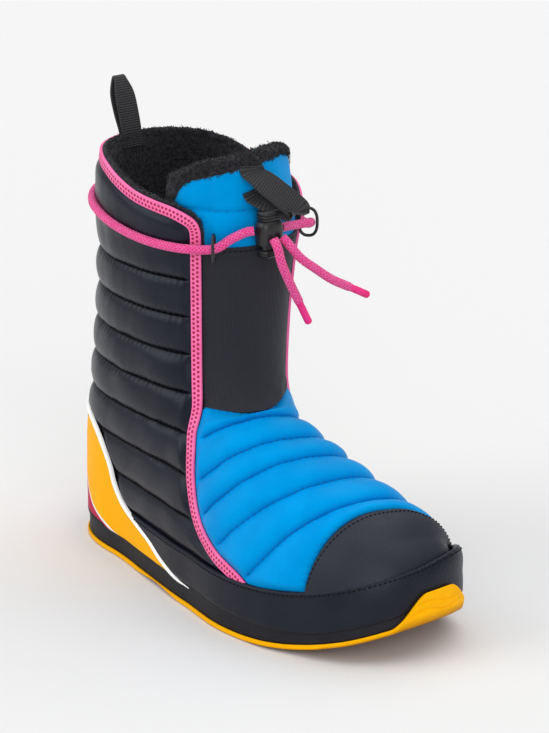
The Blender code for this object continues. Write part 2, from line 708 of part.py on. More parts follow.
def smooth_route(points, step):
    """Points every step or so along a smooth curve through the route's own points."""
    points = np.array(points, float)
    ends = np.concatenate([[2 * points[0] - points[1]], points, [2 * points[-1] - points[-2]]])
    t = np.linspace(0, 1, 20, endpoint=False)[:, None]
    pieces = []
    for a, b, c, d in zip(ends[:-3], ends[1:-2], ends[2:-1], ends[3:]):
        pieces.append(0.5 * (2 * b + (c - a) * t + (2 * a - 5 * b + 4 * c - d) * t**2
                             + (3 * b - 3 * c + d - a) * t**3))
    fine = np.concatenate([*pieces, points[-1:]])
    length = np.concatenate([[0], np.cumsum(np.linalg.norm(np.diff(fine, axis=0), axis=1))])
    stations = np.linspace(0, length[-1], max(2, round(length[-1] / step) + 1))
    return np.stack([np.interp(stations, length, fine[:, k]) for k in range(3)], -1)


def add_tube(name, route, diameter, finish, step=CORD_STEP, cyclic=False):
    """Round tube with closed ends along a smooth curve."""
    placed = sprung(smooth_route(route, step)) * MM
    if cyclic:
        placed = placed[:-1]
    curve = bpy.data.curves.new(name, "CURVE")
    curve.dimensions = "3D"
    curve.bevel_depth = diameter / 2 * MM
    curve.bevel_resolution = 2
    curve.use_fill_caps = True
    spline = curve.splines.new("POLY")
    spline.points.add(len(placed) - 1)
    spline.points.foreach_set("co", np.hstack([placed, np.ones((len(placed), 1))]).ravel())
    spline.use_cyclic_u = cyclic
    return finish_object(name, curve, finish)


def add_ribbon(name, route, width, thickness, finish, step=2.5, across=(0, 1, 0)):
    """Flat webbing along a smooth curve, its width kept as near to the given direction as it can be."""
    path = smooth_route(route, step)
    run = np.gradient(path, axis=0)
    run /= np.linalg.norm(run, axis=1, keepdims=True)
    side = np.array(across, float) - (run @ np.array(across, float))[:, None] * run
    side /= np.linalg.norm(side, axis=1, keepdims=True)
    face = np.cross(side, run)
    left, right = path - side * width / 2, path + side * width / 2
    outer = np.stack([left + face * thickness / 2, right + face * thickness / 2], 1)
    inner = np.stack([left - face * thickness / 2, right - face * thickness / 2], 1)
    add_shell(name, outer, inner, finish)


def build_pull_loop(outer, outward):
    """Loop of webbing that stands on the collar's rim at the back and leans backwards."""
    rim = outer[-1, 0]
    inside = rim - WALL * outward[-1, 0]
    base_z = max(rim[2], inside[2]) + GAP
    rear = rim[0] + PULL_LOOP_REAR * (inside[0] - rim[0])
    front = rim[0] + PULL_LOOP_FRONT * (inside[0] - rim[0])
    profile = [(rear - row.out, row.rise) for row in PULL_LOOP_LEG]
    profile += [((rear + front) / 2, PULL_LOOP_TOP)]
    profile += [(front + row.out, row.rise) for row in PULL_LOOP_LEG[::-1]]
    route = [(x - PULL_LOOP_LEAN * rise, PULL_LOOP_Y, base_z + rise) for x, rise in profile]
    add_ribbon("pull_loop", route, PULL_LOOP_WIDTH, PULL_LOOP_THICKNESS, BLACK_WEBBING)


def tongue_point(place, clear):
    """Point off the tongue's outer face."""
    headings, heights = np.array([place.heading]), np.array([[place.z]])
    face, outward = throat_face(headings, heights)
    off = tongue_offset(headings, heights)[..., None] + clear + place.off
    return (face + off * outward)[0, 0]


def build_tongue_loop():
    """Loop of webbing that hangs over the front of the tongue from its top edge."""
    clear = GAP + TONGUE_LOOP_THICKNESS / 2
    start = [tongue_point(place, clear) for place in TONGUE_LOOP_START]
    end = [tongue_point(place, clear) for place in TONGUE_LOOP_END]
    route = [*start, *TONGUE_LOOP_ROUTE, *end]
    add_ribbon("tongue_loop", route, TONGUE_LOOP_WIDTH, TONGUE_LOOP_THICKNESS, BLACK_WEBBING,
               across=TONGUE_LOOP_ACROSS)


def shaft_point(heading, z, off):
    """Point off the shaft's face in one direction from its centre, and the outward direction there."""
    turn = math.radians(heading)
    start = np.array([[SHAFT_CENTRE_X, 0, z]], float)
    point = cast(form_value, start, np.array([[math.cos(turn), math.sin(turn), 0]]))
    outward = normals(form_value, point)
    return (point + off * outward)[0], outward[0]


def build_drawcord():
    """The cord's run from the lock, through the outer keeper, round the back and to the lock again."""
    at_outer, at_inner = [shaft_point(row.heading, row.z, row.cord_off)[0] for row in KEEPERS]
    outer_half = [shaft_point(*row)[0] for row in CORD_RUN]
    inner_half = [shaft_point(-row.heading, row.z, row.off)[0] for row in CORD_RUN[-2::-1]]
    route = [LOCK_ENTRY_OUTER, *CORD_TO_LOCK_OUTER[::-1], at_outer, *outer_half]
    route += [*inner_half, at_inner, *CORD_TO_LOCK_INNER[::-1], LOCK_ENTRY_INNER]
    add_tube("drawcord", route, CORD_DIAMETER, PINK_BRAID)


def build_keepers(points=20):
    """Upright wire loops at the throat's edges, round the cord."""
    for row in KEEPERS:
        centre, outward = shaft_point(row.heading, row.z, row.off)
        outward[2] = 0
        outward /= np.linalg.norm(outward)
        turn = np.linspace(0, 2 * math.pi, points + 1)
        across = np.sign(np.cos(turn)) * np.abs(np.cos(turn)) ** KEEPER_ROUND * row.half_width
        upward = np.sign(np.sin(turn)) * np.abs(np.sin(turn)) ** KEEPER_ROUND * KEEPER_HALF_HEIGHT
        route = centre + across[:, None] * outward + upward[:, None] * np.array([0, 0, 1])
        add_tube(row.name, route, KEEPER_WIRE, BLACK_PLASTIC, step=KEEPER_STEP, cyclic=True)


def build_cord_end(word, route):
    """One free end of the cord and the moulded tip on it."""
    route = np.array(route, float)
    add_tube("cord_end_" + word, route, CORD_DIAMETER, PINK_BRAID)
    run = route[-1] - route[-2]
    run /= np.linalg.norm(run)
    start = route[-1] + run * GAP
    tip = [start, start + run * CORD_TIP_LENGTH / 2, start + run * CORD_TIP_LENGTH]
    add_tube("cord_tip_" + word, tip, CORD_TIP_DIAMETER, PINK_PLASTIC)


def oval_loop(half_depth, half_width, z):
    """Rounded oval about the lock's axis at one height."""
    turn = np.linspace(0, 2 * math.pi, LOCK_SIDES, endpoint=False)
    power = 2 / LOCK_POWER
    x = np.sign(np.cos(turn)) * np.abs(np.cos(turn)) ** power * half_depth
    y = np.sign(np.sin(turn)) * np.abs(np.sin(turn)) ** power * half_width
    return np.stack([x, y, np.full(LOCK_SIDES, z)], -1) + np.array(LOCK_CENTRE)


def round_loop(radius, z):
    """Circle about the lock's axis at one height."""
    turn = np.linspace(0, 2 * math.pi, LOCK_SIDES, endpoint=False)
    circle = np.stack([radius * np.cos(turn), radius * np.sin(turn), np.full(LOCK_SIDES, z)], -1)
    return circle + np.array(LOCK_CENTRE)


def axis_point(z):
    """Point on the lock's axis."""
    return np.array([[0, 0, z]]) + np.array(LOCK_CENTRE)


def build_cord_lock():
    """Housing with a bore in its foot, and the button whose stem slides in it."""
    low, high = -LOCK_HALF_HEIGHT, LOCK_HALF_HEIGHT
    bore_top = low + LOCK_BORE_DEPTH
    spine = [0] * LOCK_SIDES
    bore = [round_loop(LOCK_BORE_RADIUS, bore_top), round_loop(LOCK_BORE_RADIUS, low)]
    side = [oval_loop(LOCK_HALF_DEPTH - row.inset, LOCK_HALF_WIDTH - row.inset, low + row.rise)
            for row in HOUSING_SIDE]
    add_stack("cord_lock", bore + side, BLACK_PLASTIC, axis_point(bore_top), axis_point(high), spine)
    foot = low - BUTTON_TRAVEL_GAP - BUTTON_HEIGHT
    stem_high = low + BUTTON_STEM_REACH
    cap = [oval_loop(BUTTON_HALF_DEPTH - row.inset, BUTTON_HALF_WIDTH - row.inset, foot + row.rise)
           for row in BUTTON_SIDE]
    stem = [round_loop(BUTTON_STEM_RADIUS, foot + BUTTON_HEIGHT), round_loop(BUTTON_STEM_RADIUS, stem_high)]
    add_stack("cord_lock_button", cap + stem, BLACK_PLASTIC, axis_point(foot), axis_point(stem_high), spine)


def main():
    for thing in list(bpy.data.objects):
        bpy.data.objects.remove(thing, do_unlink=True)
    build_sole()
    outer, outward = build_upper()
    build_toe_cap(outer)
    build_rand()
    build_heel_counter()
    build_gusset()
    build_tongue()
    build_pull_loop(outer, outward)
    build_tongue_loop()
    build_drawcord()
    build_keepers()
    build_cord_end("short", CORD_END_SHORT)
    build_cord_end("long", CORD_END_LONG)
    build_cord_lock()


main()
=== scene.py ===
import math
import bmesh
import bpy
import numpy as np
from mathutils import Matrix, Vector


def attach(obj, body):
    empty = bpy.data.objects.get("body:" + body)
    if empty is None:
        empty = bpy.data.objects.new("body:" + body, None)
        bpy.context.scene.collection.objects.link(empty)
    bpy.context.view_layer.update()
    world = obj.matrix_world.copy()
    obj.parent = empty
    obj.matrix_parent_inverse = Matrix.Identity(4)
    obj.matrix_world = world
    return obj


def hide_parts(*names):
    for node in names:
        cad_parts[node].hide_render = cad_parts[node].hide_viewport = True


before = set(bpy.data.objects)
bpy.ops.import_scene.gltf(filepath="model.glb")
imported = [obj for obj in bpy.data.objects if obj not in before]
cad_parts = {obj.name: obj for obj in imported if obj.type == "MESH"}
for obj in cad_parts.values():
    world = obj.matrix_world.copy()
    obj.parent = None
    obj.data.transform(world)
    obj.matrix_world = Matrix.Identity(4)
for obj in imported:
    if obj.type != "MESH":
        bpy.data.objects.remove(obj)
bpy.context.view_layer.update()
print("frame loaded:", len(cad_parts), "nodes")

# The last that the boot is built on, in millimetres, heel at x = 0 and toe near x = 290.
last = {
    "origin": (142.2, -4.9, 0.0), "heelX": -7.0, "toeX": 289.5, "heelCentre": 46.0, "toeCentre": 246.0,
    "planPower": 2.35, "sidePower": 2.3, "topPower": 2.1, "shaftPower": 2.25,
    "footScale": 50.0, "shaftScale": 58.0, "ankleBlend": 16.0, "feather": 17.0, "wall": 5.0,
    # x, centre, half width
    "plan": [(0, 0.5, 39), (46, -1, 40.5), (95, -6.9, 44.7), (140, -12.6, 48.1), (180, -13.5, 54.5),
             (215, -10.2, 56.2), (246, -5, 51.5), (298, 1, 42.5)],
    # x, height of the instep line
    "roof": [(40, 199), (70, 189), (95, 168), (115, 147.5), (140, 129), (170, 113.5), (200, 100.5), (230, 86),
             (260, 69.5), (298, 55)],
    # x, lift of the toe spring
    "spring": [(0, 0), (195, 0), (230, 2.2), (265, 10.3), (300, 25)],
    # z, back, front, centre, half width
    "shaft": [(10, 5, 139, 0, 36), (40, 4, 140.5, 0, 38), (80, 7, 141.5, 0, 42.5), (120, 11.5, 142, 0, 44.5),
              (160, 10.5, 143, 0.5, 46), (200, 9.5, 144.5, 2, 49), (230, 10, 146.5, 3.5, 52.5),
              (260, 15.5, 145, 4, 53.5), (290, 22, 143, 4, 54)],
    # z, x of the heel panel's front edge
    "heelEdge": [(13, 146), (13.6, 135), (16.4, 123), (20.4, 109.5), (26.6, 95), (30.6, 81), (34.5, 67.5),
                 (40, 58), (49.5, 50), (59, 46), (72.5, 36), (82.5, 22.5), (87, 9), (89, -6)],
    # z, x of the quarter's front edge below the throat
    "edgeLine": [(30, 209), (33, 206), (36.1, 202.1), (39.9, 195.3), (47.9, 171.4), (59.4, 152.6),
                 (79.7, 141.2), (96, 136), (106.8, 132.4), (123.3, 129.4), (240, 128)],
    "innerLead": 19.5,  # how far the inner quarter's edge runs ahead of the outer one, low on the foot
    "throatX": 85.0, "throatTurn": 40.0, "centreTop": 110, "centreFade": 60,
}


# Smooth curve through a table's rows that never overshoots them, straight beyond its ends, as fine samples.
def tableCurve(rows, column, low=-120.0, high=420.0):
    x = np.array([row[0] for row in rows], float)
    y = np.array([row[column] for row in rows], float)
    width = np.diff(x)
    rise = np.diff(y) / width
    slope = np.empty_like(y)
    slope[0], slope[-1] = rise[0], rise[-1]
    product = rise[1:] * rise[:-1]
    total = np.where(rise[1:] + rise[:-1] == 0, 1, rise[1:] + rise[:-1])
    slope[1:-1] = np.where(product > 0, 2 * product / total, 0)
    at = np.linspace(low, high, 5401)
    i = np.clip(np.searchsorted(x, at) - 1, 0, len(x) - 2)
    s = np.clip((at - x[i]) / width[i], 0, 1)
    value = (2 * s**3 - 3 * s**2 + 1) * y[i] + (s**3 - 2 * s**2 + s) * width[i] * slope[i]
    value += (3 * s**2 - 2 * s**3) * y[i + 1] + (s**3 - s**2) * width[i] * slope[i + 1]
    over = at - np.clip(at, x[0], x[-1])
    return at, value + over * np.where(over > 0, slope[-1], slope[0])


curves = {
    "planCentre": tableCurve(last["plan"], 1), "planHalf": tableCurve(last["plan"], 2),
    "roof": tableCurve(last["roof"], 1), "spring": tableCurve(last["spring"], 1),
    "shaftBack": tableCurve(last["shaft"], 1), "shaftFront": tableCurve(last["shaft"], 2),
    "shaftCentre": tableCurve(last["shaft"], 3), "shaftHalf": tableCurve(last["shaft"], 4),
    "heelEdge": tableCurve(last["heelEdge"], 1), "edgeLine": tableCurve(last["edgeLine"], 1),
}


def read(name, at):
    return np.interp(at, *curves[name])


def ease(value):
    value = np.clip(value, 0, 1)
    return value * value * (3 - 2 * value)


def unit(vectors):
    return vectors / np.linalg.norm(vectors, axis=-1, keepdims=True)


def signedPower(value, power):
    return np.sign(value) * np.abs(value) ** power


# 1 on the foot's outline seen from above: a superellipse whose toe and heel halves have their own lengths.
def planValue(x, y):
    toe = np.maximum(0, (x - last["toeCentre"]) / (last["toeX"] - last["toeCentre"]))
    heel = np.maximum(0, (last["heelCentre"] - x) / (last["heelCentre"] - last["heelX"]))
    side = np.abs((y - read("planCentre", x)) / read("planHalf", x))
    power = last["planPower"]
    return (toe**power + heel**power + side**power) ** (1 / power)


# 0 on the upper's outer face: a crowned foot and an oval shaft, joined with a soft union.
def formValue(p):
    x, y, z = p[..., 0], p[..., 1], p[..., 2]
    height = np.maximum(0, (z - last["feather"]) / (read("roof", x) - last["feather"]))
    crown = planValue(x, y) ** last["sidePower"] + height ** last["topPower"]
    foot = (crown ** (1 / last["sidePower"]) - 1) * last["footScale"]
    back, front = read("shaftBack", z), read("shaftFront", z)
    power = last["shaftPower"]
    lengthwise = np.abs((2 * x - back - front) / (front - back)) ** power
    crosswise = np.abs((y - read("shaftCentre", z)) / read("shaftHalf", z)) ** power
    shaft = ((lengthwise + crosswise) ** (1 / power) - 1) * last["shaftScale"]
    mix = np.clip(0.5 + 0.5 * (shaft - foot) / last["ankleBlend"], 0, 1)
    return shaft * (1 - mix) + foot * mix - last["ankleBlend"] * mix * (1 - mix)


def outlineValue(p):
    return (planValue(p[..., 0], p[..., 1]) - 1) * last["footScale"]


# Distance along each ray to where the value turns positive, by halving.
def castOut(starts, rays, value=formValue, reach=190.0, halvings=25):
    starts, rays = np.broadcast_arrays(np.asarray(starts, float), np.asarray(rays, float))
    near, far = np.zeros(starts.shape[:-1]), np.full(starts.shape[:-1], reach)
    for _ in range(halvings):
        middle = (near + far) / 2
        outside = value(starts + rays * middle[..., None]) > 0
        far, near = np.where(outside, middle, far), np.where(outside, near, middle)
    return starts + rays * near[..., None]


def slopes(p, value=formValue, step=0.25):
    return np.stack([value(p + step * axis) - value(p - step * axis) for axis in np.eye(3)], -1) / (2 * step)


def formNormals(p, value=formValue):
    return unit(slopes(p, value))


# Points of the upper's outer face by heading about an upright axis and height.
def castRound(axisX, headings, heights):
    turn, z = np.broadcast_arrays(np.radians(headings), heights)
    none = np.zeros(z.shape)
    return castOut(np.stack([none + axisX, none, z], -1), np.stack([np.cos(turn), np.sin(turn), none], -1))


# The foot's middle line, which fades into the shaft's straight one.
def centreY(x, z):
    return read("planCentre", x) * np.clip((last["centreTop"] - z) / last["centreFade"], 0, 1)


# Points moved onto the upper's outer face, along its slope, and then out along the normal.
def settle(p, off=0.0, rounds=3):
    for _ in range(rounds):
        slope = slopes(p)
        p = p - (formValue(p) / (slope * slope).sum(-1))[..., None] * slope
    out = formNormals(p)
    return p + np.asarray(off)[..., None] * out, out


# Toe spring added, then moved to the part's own origin and to metres.
def place(p):
    out = np.array(p, float)
    out[..., 2] += read("spring", out[..., 0])
    return (out - np.array(last["origin"])) * 0.001


# Smooth unevenness: a sum of sine waves in seeded directions, about -1 to 1.
def softNoise(p, size, seed, waves=14):
    rng = np.random.default_rng(seed)
    turn = unit(rng.normal(size=(waves, p.shape[-1])))
    turn *= (2 * math.pi / size) * rng.uniform(0.7, 1.5, (waves, 1))
    phase = rng.uniform(0, 2 * math.pi, waves)
    total = np.zeros(p.shape[:-1])
    for wave, start in zip(turn, phase):
        total += np.sin(p @ wave + start)
    return total / math.sqrt(waves) / 1.2


# Length along each row of a grid, or along one line, from its first point.
def runLength(p):
    step = np.linalg.norm(np.diff(p, axis=-2), axis=-1)
    return np.concatenate([np.zeros(step.shape[:-1] + (1,)), np.cumsum(step, -1)], -1)


# The same line or rows with their points spread evenly along the length.
def evenly(values, length, count):
    pairs = zip(np.atleast_2d(values), np.atleast_2d(length))
    out = [np.interp(np.linspace(0, reach[-1], count), reach, row) for row, reach in pairs]
    return np.array(out) if np.ndim(values) > 1 else out[0]


# Points at the given lengths along a line.
def pointsAt(stations, length, points):
    return np.stack([np.interp(stations, length, points[:, k]) for k in range(3)], -1)


# Evenly spaced points on a smooth curve through the route's points.
def smoothRoute(points, step, perSpan=24):
    points = np.array(points, float)
    ends = np.concatenate([[2 * points[0] - points[1]], points, [2 * points[-1] - points[-2]]])
    t = np.linspace(0, 1, perSpan, endpoint=False)[:, None]
    a, b, c, d = (ends[i:len(ends) - 3 + i, None, :] for i in range(4))
    fine = 0.5 * (2 * b + (c - a) * t + (2 * a - 5 * b + 4 * c - d) * t**2 + (3 * b - 3 * c + d - a) * t**3)
    fine = np.concatenate([fine.reshape(-1, 3), points[-1:]])
    length = runLength(fine)
    stations = np.linspace(0, length[-1], max(4, round(length[-1] / step) + 1))
    return pointsAt(stations, length, fine)


# Quads between the points of a grid; the columns run anticlockwise and the rows up where the face is outward.
def gridFaces(rows, columns, wrap=False, wrapRows=False):
    r = np.arange(rows if wrapRows else rows - 1)[:, None]
    c = np.arange(columns if wrap else columns - 1)[None, :]
    right, up = (c + 1) % columns, (r + 1) % rows
    corners = [r * columns + c, r * columns + right, up * columns + right, up * columns + c]
    return np.stack(np.broadcast_arrays(*corners), -1).reshape(-1, 4)


# Object from points on the last, faces, and values for each point; every piece rides on the boot unless told.
def addPiece(name, points, faces, material, uv=None, fields=None, body="boot", slot=None, replaces=(),
             sharp=55, merge=False):
    points = place(np.asarray(points, float).reshape(-1, 3))
    groups = [np.asarray(part) for part in (faces if isinstance(faces, list) else [faces])]
    corners = np.concatenate([part.ravel() for part in groups]).astype(np.int32)
    sizes = np.concatenate([np.full(len(part), part.shape[1], np.int32) for part in groups])
    mesh = bpy.data.meshes.new(name)
    mesh.vertices.add(len(points))
    mesh.vertices.foreach_set("co", points.ravel())
    mesh.loops.add(len(corners))
    mesh.loops.foreach_set("vertex_index", corners)
    mesh.polygons.add(len(sizes))
    mesh.polygons.foreach_set("loop_start", (np.cumsum(sizes) - sizes).astype(np.int32))
    mesh.update(calc_edges=True)
    if uv is not None:
        layer = mesh.uv_layers.new(name="UVMap")
        layer.uv.foreach_set("vector", np.asarray(uv, np.float32).reshape(-1, 2)[corners].ravel())
    for key, value in (fields or {}).items():
        store = mesh.attributes.new(key, "FLOAT", "POINT")
        store.data.foreach_set("value", np.asarray(value, np.float32).ravel())
    if merge:
        work = bmesh.new()
        work.from_mesh(mesh)
        bmesh.ops.remove_doubles(work, verts=work.verts, dist=2e-6)
        work.to_mesh(mesh)
        work.free()
    mesh.validate()
    mesh.shade_smooth()
    if sharp:
        mesh.set_sharp_from_angle(angle=math.radians(sharp))
    mesh.materials.append(material)
    piece = bpy.data.objects.new(name, mesh)
    bpy.context.scene.collection.objects.link(piece)
    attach(piece, body)
    if replaces:
        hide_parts(*replaces)
    return piece


# Closed wall between two grids of points, with rims round its edges.
def slabFaces(rows, columns, wrap=False):
    n = rows * columns
    face = gridFaces(rows, columns, wrap)
    index = np.arange(n).reshape(rows, columns)
    closed = np.append(index, index[:, :1], 1) if wrap else index
    lines = [closed[0], closed[-1][::-1]]
    if not wrap:
        lines += [index[:, -1], index[::-1, 0]]
    rims = [np.stack([line[:-1], line[:-1] + n, line[1:] + n, line[1:]], -1) for line in lines]
    return np.concatenate([face, face[:, ::-1] + n, *rims])


def addSlab(name, outer, inner, material, uv=None, fields=None, wrap=False, **facts):
    rows, columns = outer.shape[:2]
    points = np.concatenate([outer.reshape(-1, 3), inner.reshape(-1, 3)])
    twice = None if uv is None else np.concatenate([np.reshape(uv, (-1, 2))] * 2)
    both = {key: np.concatenate([np.ravel(value)] * 2) for key, value in (fields or {}).items()}
    return addPiece(name, points, slabFaces(rows, columns, wrap), material, twice, both, **facts)


# Closed profile carried along a path, one frame of two directions at each station, with the ends closed.
def addSweep(name, path, first, second, profile, material, closedPath=False, scale=None, **facts):
    ring = np.concatenate([profile, profile[:1]])
    size = np.ones(len(path)) if scale is None else scale
    points = (path[:, None, :] + (size[:, None] * ring[None, :, 0])[..., None] * first[:, None, :]
              + (size[:, None] * ring[None, :, 1])[..., None] * second[:, None, :])
    rows, columns = points.shape[:2]
    faces = [gridFaces(rows, columns, wrapRows=closedPath)]
    edge = runLength(ring)
    uv = np.broadcast_arrays(runLength(path)[:, None], (edge / edge[-1])[None, :])
    uv = np.stack(uv, -1).reshape(-1, 2)
    points = points.reshape(-1, 3)
    if not closedPath:
        n = len(points)
        points = np.concatenate([points, path[[0, -1]]])
        uv = np.concatenate([uv, uv[[0, n - 1]]])
        c = np.arange(columns - 1)
        far = (rows - 1) * columns + c
        faces.append(np.stack([c + 1, c, np.full(columns - 1, n)], -1))
        faces.append(np.stack([far, far + 1, np.full(columns - 1, n + 1)], -1))
    return addPiece(name, points, faces, material, uv=uv, merge=True, **facts)


# Two directions across a path that turn as little as they can along it.
def pathFrame(path, hint=(0, 0, 1)):
    run = unit(np.gradient(path, axis=0))
    first = np.empty_like(run)
    across = np.array(hint, float)
    for i, t in enumerate(run):
        across = across - (across @ t) * t
        across = across / np.linalg.norm(across)
        first[i] = across
    return run, first, np.cross(run, first)


# Many small threads of one shape: a capsule of five rings, put at each place along its own direction.
def addStitches(name, places, along, outward, material, length=2.6, radius=0.38, lift=0.15):
    station = np.array([-0.5, -0.32, 0.0, 0.32, 0.5]) * length
    girth = np.array([0.35, 0.85, 1.0, 0.85, 0.35]) * radius
    dip = np.array([-0.45, 0.0, 0.25, 0.0, -0.45]) * radius * 1.6 + lift
    turn = np.linspace(0, 2 * math.pi, 6, endpoint=False)
    side = unit(np.cross(along, outward))
    up = np.cross(side, along)
    points = (places[:, None, None, :] + station[None, :, None, None] * along[:, None, None, :]
              + (girth[:, None] * np.cos(turn))[None, :, :, None] * side[:, None, None, :]
              + (dip[:, None] + girth[:, None] * np.sin(turn))[None, :, :, None] * up[:, None, None, :])
    body = gridFaces(5, 6, wrap=True)[:, ::-1]
    caps = np.array([[0, 1, 2, 3], [0, 3, 4, 5], [27, 26, 25, 24], [29, 28, 27, 24]])
    one = np.concatenate([body, caps])
    faces = (np.arange(len(places))[:, None, None] * 30 + one[None]).reshape(-1, 4)
    return addPiece(name, points, faces, material, sharp=None)


# Places every pitch along a line of points, with their directions.
def alongLine(points, outward, pitch, margin=0.0, reach=0.5):
    length = runLength(points)
    count = max(2, int((length[-1] - 2 * margin) / pitch))
    stations = margin + (np.arange(count) + 0.5) * (length[-1] - 2 * margin) / count
    run = pointsAt(stations + reach, length, points) - pointsAt(stations - reach, length, points)
    return pointsAt(stations, length, points), unit(run), unit(pointsAt(stations, length, outward))


# The same along several rows of a grid, put together.
def alongRows(points, outward, rows, pitch, margin):
    lines = [alongLine(points[k], outward[k], pitch, margin) for k in rows]
    return (np.concatenate(parts) for parts in zip(*lines))


# Shares across a puff, closer together beside its seams.
def puffShares(count):
    return (1 - np.cos(np.pi * np.arange(count) / count)) / 2


# Pile: each tuft is a bent three-sided spike whose root sits on the surface, in seeded places and lengths.
def addPile(name, grid, outward, count, material, length=2.0, radius=0.5, seed=1, weight=None, slot=None,
            scatter=0.45):
    rng = np.random.default_rng(seed)
    flat, out = grid.reshape(-1, 3), outward.reshape(-1, 3)
    chance = np.ones(len(flat)) if weight is None else np.ravel(weight)
    pick = rng.choice(len(flat), count, p=chance / chance.sum())
    root = flat[pick] + rng.normal(size=(count, 3)) * scatter
    up = unit(out[pick] + rng.normal(size=(count, 3)) * scatter)
    side = unit(np.cross(up, rng.normal(size=(count, 3))))
    other = np.cross(up, side)
    tall = length * rng.uniform(0.55, 1.25, (count, 1))
    bend = rng.uniform(-0.5, 0.5, (count, 1)) * tall
    turn = np.linspace(0, 2 * math.pi, 3, endpoint=False)
    cosine, sine = np.cos(turn)[None, :, None], np.sin(turn)[None, :, None]
    ring = radius * (cosine * side[:, None] + sine * other[:, None])
    base = root[:, None] - 0.5 * up[:, None] + ring
    middle = (root + 0.55 * tall * up + 0.3 * bend * side)[:, None] + 0.75 * ring
    tip = (root + tall * up + bend * side)[:, None]
    points = np.concatenate([base, middle, tip], 1)
    sides = np.array([[0, 1, 4, 3], [1, 2, 5, 4], [2, 0, 3, 5]])
    ends = np.array([[3, 4, 6], [4, 5, 6], [5, 3, 6], [2, 1, 0]])
    first = np.arange(count)[:, None, None] * 7
    faces = [(first + sides).reshape(-1, 4), (first + ends).reshape(-1, 3)]
    return addPiece(name, points, faces, material, sharp=None, slot=slot)


print("shape tools ready")

view = {"azimuth": 49.16, "elevation": 19.48, "distance": 1.81628, "target": (0.0078, 0.0049, 0.110),
        "lens": 148.74, "shift": (0.0023, 0.0655)}


def addCamera():
    turn, rise = math.radians(view["azimuth"]), math.radians(view["elevation"])
    back = Vector((math.sin(turn) * math.cos(rise), -math.cos(turn) * math.cos(rise), math.sin(rise)))
    camera = bpy.data.objects.new("camera", bpy.data.cameras.new("camera"))
    camera.data.lens = view["lens"]
    camera.data.shift_x, camera.data.shift_y = view["shift"]
    camera.location = Vector(view["target"]) + back * view["distance"]
    camera.rotation_euler = back.to_track_quat("Z", "Y").to_euler()
    bpy.context.scene.collection.objects.link(camera)
    bpy.context.scene.camera = camera


addCamera()
bpy.context.scene.view_settings.view_transform = "Standard"


# Node helpers: a socket takes either a link or a plain value.
def feed(tree, socket, value):
    if isinstance(value, bpy.types.NodeSocket):
        tree.links.new(value, socket)
    else:
        socket.default_value = value


def addNode(tree, kind, inputs=None, **settings):
    node = tree.nodes.new("ShaderNode" + kind)
    for key, value in settings.items():
        setattr(node, key, value)
    for key, value in (inputs or {}).items():
        feed(tree, node.inputs[key], value)
    return node


def mathNode(tree, operation, *values):
    return addNode(tree, "Math", dict(enumerate(values)), operation=operation).outputs[0]


def mixColour(tree, factor, a, b):
    return addNode(tree, "Mix", {0: factor, 6: a, 7: b}, data_type="RGBA").outputs[2]


def stepMask(tree, value, low, high):
    return addNode(tree, "MapRange", {"Value": value, "From Min": low, "From Max": high},
                   interpolation_type="SMOOTHSTEP").outputs[0]


def noise(tree, where, scale, detail, rough=0.5):
    inputs = {"Vector": where, "Scale": scale, "Detail": detail, "Roughness": rough}
    return addNode(tree, "TexNoise", inputs).outputs["Fac"]


def colour(r, g, b):
    return (r, g, b, 1.0)


# Group with named sockets; the builder gets the tree, the inputs and the output sockets to feed.
def addGroup(name, inputs, outputs, build):
    tree = bpy.data.node_groups.new(name, "ShaderNodeTree")
    for key, kind, value in inputs:
        socket = tree.interface.new_socket(name=key, in_out="INPUT", socket_type="NodeSocket" + kind)
        if value is not None:
            socket.default_value = value
    for key, kind in outputs:
        tree.interface.new_socket(name=key, in_out="OUTPUT", socket_type="NodeSocket" + kind)
    entry, leave = tree.nodes.new("NodeGroupInput"), tree.nodes.new("NodeGroupOutput")
    for key, value in build(tree, entry.outputs).items():
        tree.links.new(value, leave.inputs[key])
    return tree


def useGroup(tree, group, inputs):
    node = addNode(tree, "Group", node_tree=group)
    for key, value in inputs.items():
        feed(tree, node.inputs[key], value)
    return node.outputs


# Leather: pebbles from a cell pattern, fine pores and slow patches, for height and shade.
def buildGrain(tree, inputs):
    cells = addNode(tree, "TexVoronoi", {"Vector": inputs["Vector"], "Scale": inputs["Scale"]},
                    feature="SMOOTH_F1").outputs["Distance"]
    fine = mathNode(tree, "MULTIPLY", inputs["Scale"], 3.1)
    pores = noise(tree, inputs["Vector"], fine, 2.0)
    slow = mathNode(tree, "MULTIPLY", inputs["Scale"], 0.035)
    patch = noise(tree, inputs["Vector"], slow, 3.0)
    height = mathNode(tree, "MULTIPLY_ADD", pores, 0.35, mathNode(tree, "SUBTRACT", 1.0, cells))
    return {"Height": height, "Patch": patch, "Pebble": cells}


leatherGrain = addGroup("leatherGrain", [("Vector", "Vector", None), ("Scale", "Float", 900.0)],
                        [("Height", "Float"), ("Patch", "Float"), ("Pebble", "Float")], buildGrain)


# Cloth: ribs along one direction crossed by finer threads, as waves of the two coordinates.
def buildWeave(tree, inputs):
    parts = addNode(tree, "SeparateXYZ", {"Vector": inputs["Vector"]}).outputs
    ribs = mathNode(tree, "SINE", mathNode(tree, "MULTIPLY", parts[0], inputs["Ribs"]))
    threads = mathNode(tree, "SINE", mathNode(tree, "MULTIPLY", parts[1], inputs["Threads"]))
    cross = mathNode(tree, "MULTIPLY", ribs, threads)
    height = mathNode(tree, "MULTIPLY_ADD", cross, 0.35, mathNode(tree, "MULTIPLY", ribs, 0.5))
    fuzz = noise(tree, inputs["Vector"], 0.9, 3.0)
    return {"Height": mathNode(tree, "MULTIPLY_ADD", fuzz, 0.4, height), "Shade": fuzz}


